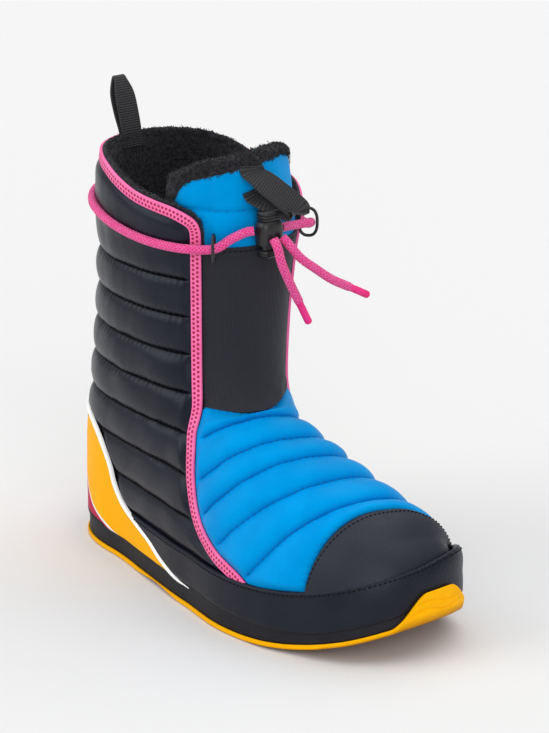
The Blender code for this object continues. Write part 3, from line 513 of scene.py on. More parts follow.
clothWeave = addGroup("clothWeave",
                      [("Vector", "Vector", None), ("Ribs", "Float", 3.0), ("Threads", "Float", 3.0)],
                      [("Height", "Float"), ("Shade", "Float")], buildWeave)


# Braid: two sets of strands that wind opposite ways round the cord and pass over each other.
def buildBraid(tree, inputs):
    parts = addNode(tree, "SeparateXYZ", {"Vector": inputs["Vector"]}).outputs
    along = mathNode(tree, "MULTIPLY", parts[0], inputs["Pitch"])
    around = mathNode(tree, "MULTIPLY", parts[1], inputs["Strands"])
    left = mathNode(tree, "SINE", mathNode(tree, "ADD", along, around))
    right = mathNode(tree, "SINE", mathNode(tree, "SUBTRACT", along, around))
    over = mathNode(tree, "MAXIMUM", left, right)
    return {"Height": over, "Gap": stepMask(tree, over, 0.55, -0.25)}


cordBraid = addGroup("cordBraid",
                     [("Vector", "Vector", None), ("Pitch", "Float", 2.0), ("Strands", "Float", 25.13)],
                     [("Height", "Float"), ("Gap", "Float")], buildBraid)


# Material with its shader's plain values set; returns the tree and shader for what varies.
def newMaterial(name, **values):
    material = bpy.data.materials.new(name)
    material.use_nodes = True
    shader = material.node_tree.nodes["Principled BSDF"]
    for key, value in values.items():
        shader.inputs[key.replace("_", " ")].default_value = value
    return material, material.node_tree, shader


def addBump(tree, shader, height, strength, distance):
    bump = addNode(tree, "Bump", {"Height": height, "Strength": strength, "Distance": distance})
    tree.links.new(bump.outputs[0], shader.inputs["Normal"])


# Roughness between two values, by a pattern from 0 to 1.
def feedRough(tree, shader, pattern, rough):
    between = addNode(tree, "MapRange", {"Value": pattern, "To Min": rough[0], "To Max": rough[1]})
    tree.links.new(between.outputs[0], shader.inputs["Roughness"])


def objectPoint(tree):
    return addNode(tree, "TexCoord").outputs["Object"]


def uvPoint(tree):
    return addNode(tree, "TexCoord").outputs["UV"]


def attribute(tree, name):
    return addNode(tree, "Attribute", attribute_name=name).outputs["Fac"]


# Grained leather of two shades, with painted shade darkening its seams where the piece has a groove value.
def leatherMaterial(name, facts, groove=False):
    material, tree, shader = newMaterial(name, Specular_IOR_Level=facts["specular"],
                                         Specular_Tint=facts.get("tint", colour(0.8, 0.87, 1.0)))
    grain = useGroup(tree, leatherGrain, {"Vector": objectPoint(tree), "Scale": facts["scale"]})
    shade = mixColour(tree, stepMask(tree, grain["Patch"], 0.3, 0.7), facts["dark"], facts["light"])
    # Painted shade: the groove value mixes the deep colour into the seams, standing in for the shade that
    # falls in them.
    if groove:
        shade = mixColour(tree, mathNode(tree, "MULTIPLY", attribute(tree, "groove"), facts["seam"]), shade,
                          facts["deep"])
    feed(tree, shader.inputs["Base Color"], shade)
    feedRough(tree, shader, grain["Pebble"], facts["rough"])
    addBump(tree, shader, grain["Height"], facts["bump"], 0.0003)
    return material


# deep is the painted shade colour of the seams, and seam how strongly it is mixed in.
leathers = {
    "quilt": {"dark": colour(0.0042, 0.0046, 0.0095), "light": colour(0.0075, 0.008, 0.0148),
              "deep": colour(0.002, 0.002, 0.003),
              "seam": 0.7, "rough": (0.27, 0.42), "scale": 1100.0, "bump": 0.2, "specular": 0.27},
    "blue": {"dark": colour(0.0, 0.258, 0.64), "light": colour(0.0, 0.294, 0.70),
             "deep": colour(0.0, 0.12, 0.42),
             "seam": 0.25, "rough": (0.4, 0.55), "scale": 1300.0, "bump": 0.14, "specular": 0.12,
             "tint": colour(0.0, 0.75, 1.0)},
    "rand": {"dark": colour(0.0047, 0.0053, 0.0102), "light": colour(0.008, 0.0087, 0.0152),
             "rough": (0.34, 0.52),
             "scale": 850.0, "bump": 0.3, "specular": 0.27},
    "cap": {"dark": colour(0.008, 0.0087, 0.0152), "light": colour(0.0125, 0.0132, 0.0212),
            "rough": (0.42, 0.62),
            "scale": 850.0, "bump": 0.34, "specular": 0.4},
}
quiltLeather = leatherMaterial("quiltLeather", leathers["quilt"], groove=True)
blueLeather = leatherMaterial("blueLeather", leathers["blue"], groove=True)
randLeather = leatherMaterial("randLeather", leathers["rand"])
capLeather = leatherMaterial("capLeather", leathers["cap"])


# Knitted pile: soft clumps of two dark greys with a velvet edge.
def pileMaterial(name, dark, light, scale):
    material, tree, shader = newMaterial(name, Roughness=0.95, Sheen_Weight=0.12, Sheen_Roughness=0.6,
                                         Specular_IOR_Level=0.05)
    where = objectPoint(tree)
    clump = noise(tree, where, scale, 4.0, 0.65)
    curl = addNode(tree, "TexVoronoi", {"Vector": where, "Scale": scale * 1.7}).outputs["Distance"]
    feed(tree, shader.inputs["Base Color"], mixColour(tree, stepMask(tree, clump, 0.32, 0.72), dark, light))
    addBump(tree, shader, mathNode(tree, "MULTIPLY_ADD", curl, -0.6, clump), 0.9, 0.0012)
    return material


fleecePile = pileMaterial("fleecePile", colour(0.008, 0.008, 0.010), colour(0.034, 0.034, 0.041), 420.0)
feltPile = pileMaterial("feltPile", colour(0.012, 0.012, 0.013), colour(0.03, 0.03, 0.032), 700.0)


# Cloth on the piece's own coordinates in millimetres.
def weaveMaterial(name, base, light, ribs, threads, bump, rough):
    material, tree, shader = newMaterial(name, Roughness=rough, Sheen_Weight=0.08, Specular_IOR_Level=0.3)
    weave = useGroup(tree, clothWeave, {"Vector": uvPoint(tree), "Ribs": ribs, "Threads": threads})
    feed(tree, shader.inputs["Base Color"],
         mixColour(tree, stepMask(tree, weave["Height"], -0.3, 0.7), base, light))
    addBump(tree, shader, weave["Height"], bump, 0.0004)
    return material


stretchWeave = weaveMaterial("stretchWeave", colour(0.0085, 0.009, 0.0135), colour(0.0185, 0.0195, 0.027),
                             5.2, 4.4, 0.35, 0.75)
webbing = weaveMaterial("webbing", colour(0.008, 0.008, 0.009), colour(0.036, 0.036, 0.039), 4.2, 2.6, 0.8,
                        0.6)


# Cord: pink strands with painted shade, a darker crimson, in the gaps between them.
def braidMaterial():
    material, tree, shader = newMaterial("pinkBraid", Roughness=0.62, Sheen_Weight=0.15,
                                         Specular_IOR_Level=0.3)
    braid = useGroup(tree, cordBraid, {"Vector": uvPoint(tree), "Pitch": 2.5, "Strands": 14 * math.pi})
    fleck = noise(tree, objectPoint(tree), 520.0, 2.0)
    strand = mixColour(tree, stepMask(tree, fleck, 0.35, 0.65), colour(0.88, 0.06, 0.3),
                       colour(0.94, 0.12, 0.4))
    # Painted shade: the gaps between strands are mixed towards the crimson colour.
    between = mathNode(tree, "MULTIPLY", braid["Gap"], 0.75)
    feed(tree, shader.inputs["Base Color"], mixColour(tree, between, strand, colour(0.66, 0.015, 0.14)))
    addBump(tree, shader, braid["Height"], 0.7, 0.0005)
    return material


pinkBraid = braidMaterial()


# Moulded plastic with a fine spark-eroded texture and worn, slightly shiny patches.
def plasticMaterial(name, dark, light, rough, specular=0.45, tread=None):
    material, tree, shader = newMaterial(name, Specular_IOR_Level=specular)
    where = objectPoint(tree)
    speck = noise(tree, where, 2600.0, 2.0)
    patch = noise(tree, where, 160.0, 3.0)
    shade = mixColour(tree, stepMask(tree, patch, 0.3, 0.7), dark, light)
    if tread:
        shade = mixColour(tree, attribute(tree, "tread"), shade, tread)
    feed(tree, shader.inputs["Base Color"], shade)
    feedRough(tree, shader, patch, rough)
    addBump(tree, shader, speck, 0.15, 0.0002)
    return material


blackPlastic = plasticMaterial("blackPlastic", colour(0.009, 0.009, 0.01), colour(0.016, 0.016, 0.018),
                               (0.28, 0.45))
pinkPlastic = plasticMaterial("pinkPlastic", colour(0.76, 0.012, 0.17), colour(0.86, 0.03, 0.24),
                              (0.35, 0.5), 0.3)
orangeRubber = plasticMaterial("orangeRubber", colour(0.97, 0.44, 0.0), colour(1.0, 0.47, 0.001),
                               (0.45, 0.6), 0.05, colour(0.3, 0.1, 0.002))
blackRubber = plasticMaterial("blackRubber", colour(0.006, 0.0065, 0.0105), colour(0.01, 0.0105, 0.0155),
                              (0.48, 0.65), 0.25)
blackThread = plasticMaterial("blackThread", colour(0.003, 0.003, 0.004), colour(0.007, 0.007, 0.008),
                              (0.6, 0.8), 0.12)
blueThread = plasticMaterial("blueThread", colour(0.0, 0.07, 0.26), colour(0.0, 0.10, 0.34), (0.5, 0.7))
whiteTape = plasticMaterial("whiteTape", colour(0.93, 0.93, 0.92), colour(0.97, 0.97, 0.96), (0.5, 0.65), 0.2)


# Edge tape: two staggered rows of punched holes, by length along the tape and width across it in millimetres.
def tapeMaterial():
    facts = {"pitch": 2.8, "rows": (2.0, 4.6), "radius": 0.82}
    material, tree, shader = newMaterial("pinkTape", Roughness=0.55, Specular_IOR_Level=0.35)
    parts = addNode(tree, "SeparateXYZ", {"Vector": uvPoint(tree)}).outputs
    nearest = 9.0
    for i, row in enumerate(facts["rows"]):
        shifted = mathNode(tree, "MULTIPLY_ADD", parts[0], 1 / facts["pitch"], 0.5 * i)
        along = mathNode(tree, "MULTIPLY", mathNode(tree, "SUBTRACT", mathNode(tree, "FRACT", shifted), 0.5),
                         facts["pitch"])
        across = mathNode(tree, "SUBTRACT", parts[1], row)
        squares = mathNode(tree, "ADD", mathNode(tree, "POWER", along, 2.0),
                           mathNode(tree, "POWER", across, 2.0))
        nearest = mathNode(tree, "MINIMUM", nearest, mathNode(tree, "SQRT", squares))
    hole = stepMask(tree, nearest, facts["radius"] + 0.22, facts["radius"] - 0.22)
    slow = noise(tree, objectPoint(tree), 90.0, 3.0)
    plain = mixColour(tree, stepMask(tree, slow, 0.3, 0.7), colour(0.91, 0.135, 0.36),
                      colour(0.97, 0.17, 0.42))
    feed(tree, shader.inputs["Base Color"], mixColour(tree, hole, plain, colour(0.36, 0.006, 0.05)))
    addBump(tree, shader, mathNode(tree, "MULTIPLY", hole, -1.0), 0.8, 0.0006)
    return material


pinkTape = tapeMaterial()


# Heel panel: a white line divides orange from crimson, and crimson from black below, by two distances.
def panelMaterial():
    material, tree, shader = newMaterial("heelPanel", Specular_IOR_Level=0.05)
    grain = useGroup(tree, leatherGrain, {"Vector": objectPoint(tree), "Scale": 1000.0})
    line, base = attribute(tree, "line"), attribute(tree, "base")
    warm = mixColour(tree, stepMask(tree, grain["Patch"], 0.3, 0.7), colour(0.98, 0.44, 0.0),
                     colour(1.0, 0.465, 0.001))
    below = mixColour(tree, stepMask(tree, base, -0.12, 0.12), colour(0.016, 0.016, 0.019),
                      colour(0.5, 0.012, 0.075))
    stripe = mixColour(tree, stepMask(tree, line, -0.98, -0.82), below, colour(0.82, 0.82, 0.81))
    feed(tree, shader.inputs["Base Color"], mixColour(tree, stepMask(tree, line, 0.82, 0.98), stripe, warm))
    feedRough(tree, shader, grain["Pebble"], (0.4, 0.55))
    addBump(tree, shader, grain["Height"], 0.16, 0.0003)
    return material


heelLeather = panelMaterial()
print("materials ready:", len(bpy.data.materials))

# Drawcord: heading about the shaft, height and distance off it, then points in front of the tongue.
cord = {
    "diameter": 5.5, "sides": 16, "step": 1.1, "shaftX": 78.0,
    "run": [(-44, 216, 4.9), (-62, 216, 3.9), (-80, 217, 3.7), (-100, 219, 3.7), (-120, 222, 3.7),
            (-140, 225, 3.7), (-160, 227, 3.7), (-180, 228, 3.7)],
    "outerKeeper": (-29, 217, 5.0), "innerKeeper": (29, 222, 6.6),
    "toLockOuter": [(148.7, -13.3, 226.6), (145.2, -17.5, 225.5), (140.4, -24.5, 221.5)],
    "toLockInner": [(144.6, 25, 222.6), (147, 14, 224), (148.7, 7.3, 224.8)],
    "shortEnd": [(158.2, -6.4, 222.3), (161.4, -6, 217.4), (162.6, -4, 208), (163.4, 1.5, 195.5),
                 (163.6, 8.5, 182.5)],
    "longEnd": [(158.2, 0.4, 222.3), (162.3, 2.6, 217.6), (165.2, 8.5, 209.5), (168, 17.5, 202),
                (169.8, 29, 193.5), (170.6, 42, 186.5)],
    "tipGap": 0.3, "tipLength": 17.0, "tipDiameter": 4.6,
}


# Points off the shaft by heading about its centre, height and distance.
def shaftPoints(rows):
    rows = np.array(rows, float)
    face = castRound(cord["shaftX"], rows[:, 0], rows[:, 1])
    out = formNormals(face)
    return face + rows[:, 2:] * out, out


def circle(radius, sides):
    turn = np.linspace(0, 2 * math.pi, sides, endpoint=False)
    return radius * np.stack([np.cos(turn), np.sin(turn)], -1)


# Round cord along a route, a circle carried along a smooth curve; scale swells or narrows it.
def addCord(name, route, diameter, material, step, scale=None, **facts):
    path = smoothRoute(route, step)
    _, first, second = pathFrame(path)
    size = None if scale is None else scale(np.linspace(0, 1, len(path)))
    return addSweep(name, path, first, second, circle(diameter / 2, cord["sides"]), material, scale=size,
                    **facts), path


def addDrawcord():
    mirrored = [(-heading, z, off) for heading, z, off in cord["run"][-2::-1]]
    run, _ = shaftPoints([cord["outerKeeper"], *cord["run"], *mirrored, cord["innerKeeper"]])
    route = np.concatenate([cord["toLockOuter"], run, cord["toLockInner"]])
    addCord("drawcordBraid", route, cord["diameter"], pinkBraid, cord["step"], slot="pink_braid",
            replaces=["drawcord"])


# A free end hangs from the lock's face; its moulded tip is a tube with a rounded nose and a crimped neck.
def addFreeEnd(word, route):
    braid, path = addCord(word + "EndBraid", route, cord["diameter"], pinkBraid, cord["step"],
                          slot="pink_braid", replaces=["cord_end_" + word])
    run = np.array(route[-1], float) - np.array(route[-2], float)
    run /= np.linalg.norm(run)
    start = np.array(route[-1]) + cord["tipGap"] * run
    places = [start + share * cord["tipLength"] * run for share in np.linspace(0, 1, 8)]

    def swell(t):
        nose = np.sqrt(np.clip(1 - ((t - 0.9) / 0.1).clip(0, 1) ** 2, 0.02, 1))
        return nose * (1.08 - 0.08 * ease(t / 0.12) - 0.07 * np.exp(-((t - 0.2) / 0.03) ** 2))

    tip, _ = addCord(word + "EndTip", places, cord["tipDiameter"], pinkPlastic, 0.5, swell, slot="cord_tip",
                     replaces=["cord_tip_" + word])
    line = place(path)
    print(word, "end", round(float(runLength(path)[-1]), 1), "mm")


addDrawcord()
addFreeEnd("short", cord["shortEnd"])
addFreeEnd("long", cord["longEnd"])
print("cords laid")

keepers = {"outer": (-29, 217, 5.0, 4.9), "inner": (29, 222, 5.0, 5.6), "halfHeight": 8.5, "wire": 1.9,
           "power": 0.8}


# Wire loop round the cord: a rounded oval in the plane of the outward and upward directions.
def addKeeper(side):
    heading, z, off, halfWidth = keepers[side]
    centre, out = shaftPoints([(heading, z, off)])
    out = out[0] * (1, 1, 0)
    out /= np.linalg.norm(out)
    turn = np.linspace(0, 2 * math.pi, 61)[:-1]
    across = signedPower(np.cos(turn), keepers["power"]) * halfWidth
    upward = signedPower(np.sin(turn), keepers["power"]) * keepers["halfHeight"]
    path = centre[0] + across[:, None] * out + upward[:, None] * np.array([0, 0, 1.0])
    run = unit(np.roll(path, -1, 0) - np.roll(path, 1, 0))
    first = np.repeat(np.cross(out, (0, 0, 1.0))[None], len(path), 0)
    addSweep(side + "KeeperWire", path, first, np.cross(run, first), circle(keepers["wire"] / 2, 12),
             blackPlastic, closedPath=True, slot="black_plastic", replaces=["keeper_" + side])


addKeeper("outer")
addKeeper("inner")

lock = {
    "centre": (150, -3, 224.5), "half": (5.9, 8.1), "halfHeight": 7.5, "power": 3.0, "sides": 72,
    # inset and rise of the housing's side, with a ribbed neck on top
    "housing": [(6.5, 0), (1.2, 0), (0.5, 0.3), (0.1, 1.2), (0, 3), (-0.35, 6.5), (-0.3, 9), (0, 11.5),
                (0.5, 13.4), (1.3, 14.4), (2.1, 14.8), (2.1, 15.2), (1.0, 15.5), (0.8, 16.3), (1.4, 16.6),
                (1.4, 17), (0.8, 17.3), (0.8, 18.1), (1.4, 18.4), (1.4, 18.8), (0.8, 19.1), (0.9, 20),
                (1.5, 20.8), (2.6, 21.2), (5.8, 21.3)],
    "buttonHalf": (4.7, 6.9), "buttonGap": 3.0, "buttonHeight": 5.0,
    "button": [(4.6, 0), (2.4, 0.05), (1.1, 0.4), (0.4, 1), (0.1, 1.5), (0.5, 1.7), (0.5, 2), (0.05, 2.2),
               (0.05, 2.8), (0.5, 3), (0.5, 3.3), (0.05, 3.5), (0.1, 4.4), (0.5, 4.9), (1, 5), (1.8, 5),
               (1.8, 8.6), (4.6, 8.6)],
}


# Closed stack of rounded ovals about the lock's axis, one for each inset and rise, with its two ends filled.
def addStack(name, half, low, rows, **facts):
    inset, rise = np.array(rows, float).T
    turn = np.linspace(0, 2 * math.pi, lock["sides"], endpoint=False)
    power = 2 / lock["power"]
    least = 0.15
    x = signedPower(np.cos(turn), power) * np.maximum(half[0] - inset, least)[:, None]
    y = signedPower(np.sin(turn), power) * np.maximum(half[1] - inset, least)[:, None]
    z = np.repeat((low + rise)[:, None], lock["sides"], 1)
    points = np.stack([x, y, z], -1) + np.array(lock["centre"])
    rows, columns = points.shape[:2]
    index = np.arange(columns)
    fill = [np.stack([index[1:-1] * 0, index[2:], index[1:-1]], -1),
            (rows - 1) * columns + np.stack([index[1:-1] * 0, index[1:-1], index[2:]], -1)]
    return addPiece(name, points, [gridFaces(rows, columns, wrap=True), *fill], blackPlastic, sharp=40,
                    **facts)


addStack("lockHousing", lock["half"], -lock["halfHeight"], lock["housing"], slot="black_plastic",
         replaces=["cord_lock"])
addStack("lockButton", lock["buttonHalf"], -lock["halfHeight"] - lock["buttonGap"] - lock["buttonHeight"],
         lock["button"], slot="black_plastic", body="lock_button", replaces=["cord_lock_button"])
print("keepers and lock ready")


# Front face of the shaft by heading about the throat's centre and height.
def throatFace(headings, heights):
    face = castRound(last["throatX"], headings, heights)
    return face, formNormals(face)


tongue = {"bottom": 118.0, "top": 270.8, "crest": 10.0, "sideDrop": 0.0027, "outerHeading": -69.0,
          "innerHeading": 60.0,
          "gussetTop": 215.0, "thickness": 6.0, "seam": 237.0, "puff": 1.9, "roll": 3.4, "proud": 1.6,
          "reach": 5.2,
          "corner": 12.0, "columns": 120, "face": -3.8, "tuck": 2.1, "lean": 2.6, "innerLean": 2.4,
          "innerDrop": 3.0, "puffFoot": 208}


# Distance of the tongue's front face from the shaft: deeper under the quarters, at its foot and at its top.
def tongueOffset(headings, heights):
    beside = ease((np.abs(headings) - 30) / 7)
    below = ease((128 - heights) / 5)
    above = ease((heights - tongue["gussetTop"]) / (tongue["top"] - tongue["gussetTop"]))
    lean = tongue["lean"] + tongue["innerLean"] * ease(headings / 30)
    return tongue["face"] - tongue["tuck"] * np.maximum(beside, below) - lean * above


def tongueTop(headings):
    sides = tongue["sideDrop"] * (headings - tongue["crest"]) ** 2
    return tongue["top"] - sides - tongue["innerDrop"] * ease((headings - 12) / 25)


# Pad: the offset face crowned between the gusset's top, the sewn seam and the top roll.
def addTongue():
    h = np.linspace(tongue["outerHeading"], tongue["innerHeading"], tongue["columns"])[None, :]
    share = np.concatenate([np.linspace(0, 0.6, 26), np.linspace(0.6, 1, 52)[1:]])[:, None]
    top = tongueTop(h) - 4.5
    z = tongue["bottom"] + share * (top - tongue["bottom"])
    face, out = throatFace(h, z)
    low = np.clip((z - tongue["puffFoot"]) / (tongue["seam"] - tongue["puffFoot"]), 0, 1)
    high = np.clip((z - tongue["seam"]) / (top + 1 - tongue["seam"]), 0, 1)
    crown = np.where(z < tongue["seam"], (4 * low * (1 - low)) ** 0.5, (4 * high * (1 - high)) ** 0.5)
    side = 1 - ease((np.abs(h + 4) - 50) / 12)
    puff = tongue["puff"] * crown * side * ease((z - (tongue["puffFoot"] - 2)) / 6)
    pucker = -0.25 * np.exp(-((z - tongue["seam"]) / 1.6) ** 2) * (0.5 + 0.5 * np.cos(h * 2.2))
    outer = face + (tongueOffset(h, z) - 0.5 + puff + pucker)[..., None] * out
    inner = face + (tongueOffset(h, z) - tongue["thickness"] + 1.6)[..., None] * out
    # groove value: painted shade along the tongue's sewn seam.
    groove = np.exp(-((z - tongue["seam"]) / 1.1) ** 2)
    pad = addSlab("tonguePad", outer, inner, blueLeather, fields={"groove": groove}, slot="blue_leather",
                  replaces=["tongue"])
    seam = np.linspace(-34, 34, 60)
    line, lineOut = throatFace(seam, np.full(60, tongue["seam"]))
    line = line + (tongueOffset(seam, np.full(60, tongue["seam"])) - 0.55)[:, None] * lineOut
    addStitches("tongueStitches", *alongLine(line, lineOut, 3.4), blueThread, length=2.2, radius=0.3)


addTongue()


# Fleece on the tongue's back and over its top: a profile up the back, round a roll and down the front.
def addTongueFleece():
    h = np.linspace(tongue["outerHeading"], tongue["innerHeading"], 170)[None, :]
    top = tongueTop(h)
    flat = np.ones_like(h)
    turn = np.linspace(0, math.pi, 17)[:, None]
    straight = np.linspace(0, 1, 34)[:, None]
    middle, half = -tongue["thickness"] / 2, tongue["thickness"] / 2 + tongue["proud"]
    corners = tongue["corner"] * ease((np.abs(h + 5) - 49) / 14)
    reach = tongue["reach"] * (1 - 0.8 * ease((h + 5) / 30)) + corners
    down = np.array([0.25, 0.5, 0.75, 0.92, 1.0])[:, None]
    z = np.concatenate([tongue["bottom"] + 2 + straight * (top - tongue["roll"] - tongue["bottom"] - 2),
                        top - tongue["roll"] + (tongue["roll"] + 1.2) * np.sin(turn),
                        top - tongue["roll"] - reach * down])
    off = np.concatenate([(middle - half) * np.ones_like(straight) * flat,
                          (middle - half * np.cos(turn)) * flat,
                          middle + (half + np.array([0.1, 0.1, -0.2, -0.9, -2.2])[:, None]) * flat])
    face, out = throatFace(h, np.minimum(z, 285))
    points = face + (tongueOffset(h, np.minimum(z, tongue["top"])) + off)[..., None] * out
    step = unit(np.cross(np.gradient(points, axis=0), np.gradient(points, axis=1)))
    lumps = softNoise(points, 8, 31) * 0.5 + softNoise(points, 3.5, 32) * 0.3
    outer = points + lumps[..., None] * step
    addSlab("tongueFleece", outer[:, ::-1], (outer - 1.2 * step)[:, ::-1], fleecePile, slot="fleece",
            sharp=None)
    weight = np.zeros(z.shape)
    weight[22:-1] = 1.0
    addPile("tongueTufts", outer, step, 5600, fleecePile, length=0.8, radius=0.32, seed=33, weight=weight,
            slot="fleece")


addTongueFleece()

gusset = {"bottom": 119.2, "top": 215.0, "heading": 41.5, "outer": -1.2, "inner": -3.0}


# Stretch panel: the throat's face a little inside, with slack ripples near its foot.
def addGusset():
    h = np.linspace(-gusset["heading"], gusset["heading"], 110)[None, :]
    z = np.linspace(gusset["bottom"], gusset["top"], 90)[:, None]
    face, out = throatFace(h, z)
    foot = np.exp(-(z - gusset["bottom"]) / 9)
    ripple = foot * (0.45 * np.sin(h * 0.42 + 0.6) * np.sin(z * 0.5) + 0.5 * softNoise(face, 26, 41))
    ripple = ripple + 0.18 * softNoise(face, 40, 42)
    hem = np.exp(-((z - gusset["top"]) / 1.2) ** 2) * -0.25
    outer = face + (gusset["outer"] + ripple + hem)[..., None] * out
    inner = face + (gusset["inner"] + ripple)[..., None] * out
    uv = np.stack(np.broadcast_arrays(h * 0.95, z), -1)
    addSlab("gussetPanel", outer, inner, stretchWeave, uv=uv, slot="stretch_weave", replaces=["gusset"])
    line, lineOut = throatFace(np.linspace(-38, 38, 80), np.full(80, gusset["top"] - 2.2))
    line = line + gusset["outer"] * lineOut
    addStitches("gussetStitches", *alongLine(line, lineOut, 3.2), blackThread, length=2.2, radius=0.28)


addGusset()
print("tongue and gusset ready")

quarter = {
    "seams": [33, 55, 79, 102, 125, 148, 171, 194], "axisX": 70.0, "rows": 18, "columns": 236,
    "puff": 3.9, "seamDepth": -2.0, "rearDrop": 2.5, "tape": 7.0, "fade": 7.0, "plump": 0.52, "inner": -2.6,
    "pitch": 4.4,
    "bandHeight": 23.0, "covered": -0.7, "frontCord": 216.0, "frontTop": 229.5,
    # x, height of the collar's edge with its rounded front corner
    "top": [(15, 261), (30, 259), (50, 254.5), (66, 249), (82, 244), (100, 241), (110, 239.4), (117, 237),
            (123, 234), (127, 230.5), (130, 226)],
    # heading from the front, height of the cord's line
    "cordLine": [(0, 216), (62, 216), (80, 217), (100, 219), (120, 222), (140, 225), (160, 227), (180, 228)],
}
curves["quarterTop"] = tableCurve(quarter["top"], 1)
curves["cordLine"] = tableCurve(quarter["cordLine"], 1)


# Point on the upper at a given x and height, on the outer (-1) or inner (+1) side.
def sidePoint(x, z, side):
    starts = np.stack([x, centreY(x, z), z], -1)
    return castOut(starts, np.stack([0 * x, side + 0 * x, 0 * x], -1))


# Front edge of the quarter by height: a line on the foot that runs into the throat's edge.
def quarterEdge(z, side):
    z = np.asarray(z, float)
    lead = last["innerLead"] * ease((125 - z) / 30) * (side > 0)
    low = sidePoint(read("edgeLine", z) + lead, z, side)
    high, _ = throatFace(np.full(z.shape, side * last["throatTurn"]), z)
    mix = ease((z - 104) / 18)[..., None]
    return settle(low * (1 - mix) + high * mix)[0]


def headingOf(p):
    return np.degrees(np.arctan2(p[..., 1], p[..., 0] - quarter["axisX"])) % 360


def axisCast(headings, z):
    return castRound(quarter["axisX"], headings, z)


# Rows round the back between two front headings, spread evenly along each row; height by row and heading.
def wrapRows(start, end, heightOf, columns):
    share = np.linspace(0, 1, 90)[None, :]
    coarse = start[:, None] + (end - start)[:, None] * share
    length = runLength(axisCast(coarse, heightOf(coarse)))
    headings = evenly(coarse, length, columns)
    z = heightOf(headings)
    face = axisCast(headings, z)
    return face, headings, z


topHeadings = np.linspace(0, 360, 361)
topHeights = read("quarterTop", axisCast(topHeadings, np.full(361, 240.0))[:, 0])
rearDip = quarter["rearDrop"] * ease((topHeadings - 55) / 45)  # the collar dips behind
topHeights -= rearDip * ease((250 - topHeadings) / 70)


# Height of a row at a share of its puff: level up to the last seam, then by the cord's line and collar.
def quarterHeights(band, share):
    seams = quarter["seams"]

    def heightOf(headings):
        fromFront = np.minimum(headings, 360 - headings)
        lines = [np.full(headings.shape, float(z)) for z in seams]
        lines += [read("cordLine", fromFront), np.interp(headings, topHeadings, topHeights)]
        lines = np.stack(lines)
        index = np.arange(headings.shape[0])
        low, high = lines[band, index], lines[band + 1, index]
        return low + share[:, None] * (high - low)
    return heightOf


def quarterFrontHeights(band, share):
    lines = np.array([*quarter["seams"], quarter["frontCord"], quarter["frontTop"]])
    return lines[band] + share * (lines[band + 1] - lines[band])


# Share of the surface that stays bare of the rand, the heel panel and the tape.
def quarterBare(face, edgeLength):
    bare = ease((edgeLength - quarter["tape"] + 1.5) / quarter["fade"])
    bare = bare * ease((face[..., 2] - 34.5) / 5)
    return bare * ease((face[..., 0] - read("heelEdge", face[..., 2]) - 2.2) / 5 + 20 * (face[..., 2] > 89.5))


def addQuarters():
    count, bands = quarter["rows"], len(quarter["seams"]) + 1
    band = np.append(np.repeat(np.arange(bands), count), bands - 1)
    inside = puffShares(count)
    share = np.append(np.tile(inside, bands), 1.0)
    front = quarterFrontHeights(band, share)
    start = headingOf(quarterEdge(front, 1))
    end = headingOf(quarterEdge(front, -1))
    face, headings, z = wrapRows(start, end, quarterHeights(band, share), quarter["columns"])
    out = formNormals(face)
    length = runLength(face)
    rise = [np.gradient(face[:, k], axis=0) for k in (0, -1)]
    slope = [np.abs(step[:, 2:]) / np.linalg.norm(step, axis=1, keepdims=True) for step in rise]
    edge = np.minimum(length * slope[0], (length[:, -1:] - length) * slope[1])
    edge = np.minimum(edge, np.interp(headings, topHeadings, topHeights) - z)
    crown = (4 * share * (1 - share)) ** quarter["plump"]
    seamGap = np.minimum(share, 1 - share)[:, None] * quarter["bandHeight"]
    bare = quarterBare(face, edge)
    shift = band[:, None] * 1.7
    wave = np.cos(2 * np.pi * (length + shift) / quarter["pitch"])
    pucker = np.exp(-(seamGap / 3.0) ** 2) * (0.5 + 0.5 * wave)
    flat = np.stack([length / 5.5, z / 26.0], -1)
    wrinkle = softNoise(flat, 2.2, 51) * 0.3 * (1 - crown[:, None] * 0.75) + softNoise(face, 34, 52) * 0.35
    height = quarter["seamDepth"] + quarter["puff"] * crown[:, None] - 0.55 * pucker + wrinkle
    cordSeam = ((band == bands - 2) & (share > 0.5)) | ((band == bands - 1) & (share < 0.5))
    height = height + 2.3 * np.exp(-(seamGap / 5.0) ** 2) * cordSeam[:, None]  # the cord rests in this seam
    height = bare * height + (1 - bare) * quarter["covered"]
    outer = face + height[..., None] * out
    inner = face + quarter["inner"] * out
    # groove value: painted shade along the quilting seams.
    groove = np.exp(-(seamGap / 1.6) ** 2) * bare
    piece = addSlab("quarterQuilt", outer, inner, quiltLeather, fields={"groove": groove},
                    slot="quilted_leather", replaces=["upper"])
    rows = [k * count for k in range(1, bands - 1)]
    at, run, away = alongRows(outer, out, rows, quarter["pitch"], margin=9.0)
    clear = (at[:, 0] > read("heelEdge", at[:, 2]) + 4) | (at[:, 2] > 90)
    addStitches("quarterStitches", at[clear], run[clear], away[clear], blackThread, length=2.7, radius=0.36,
                lift=0.2)


addQuarters()
print("quarters quilted")

cap = {"side": (243.0, 34.0), "ridgeX": 253.0, "rows": 44, "columns": 130, "outer": 1.7, "inner": 0.2,
       "foot": -7.0, "stitchRow": 0.95, "dent": 3.2}


def capSide(side):
    x, z = (np.array([value]) for value in cap["side"])
    return sidePoint(x + last["innerLead"] * (side > 0), z, side)


vamp = {
    # height at the sides and x on the ridge of each seam, from the gusset's foot to the toe cap
    "seams": [(117.5, 159), (100.6, 165), (77.8, 184), (60, 200.5), (47.8, 221), (37.1, 241), (34, 253)],
    "rows": 18, "columns": 170, "puff": 4.1, "seamDepth": -1.9, "plump": 0.6, "lean": 1.5, "fade": 6.5,
    "tuck": 0.35, "inner": -3.2, "pitch": 4.6,
    "bandHeight": 22.0, "covered": -0.9,
}


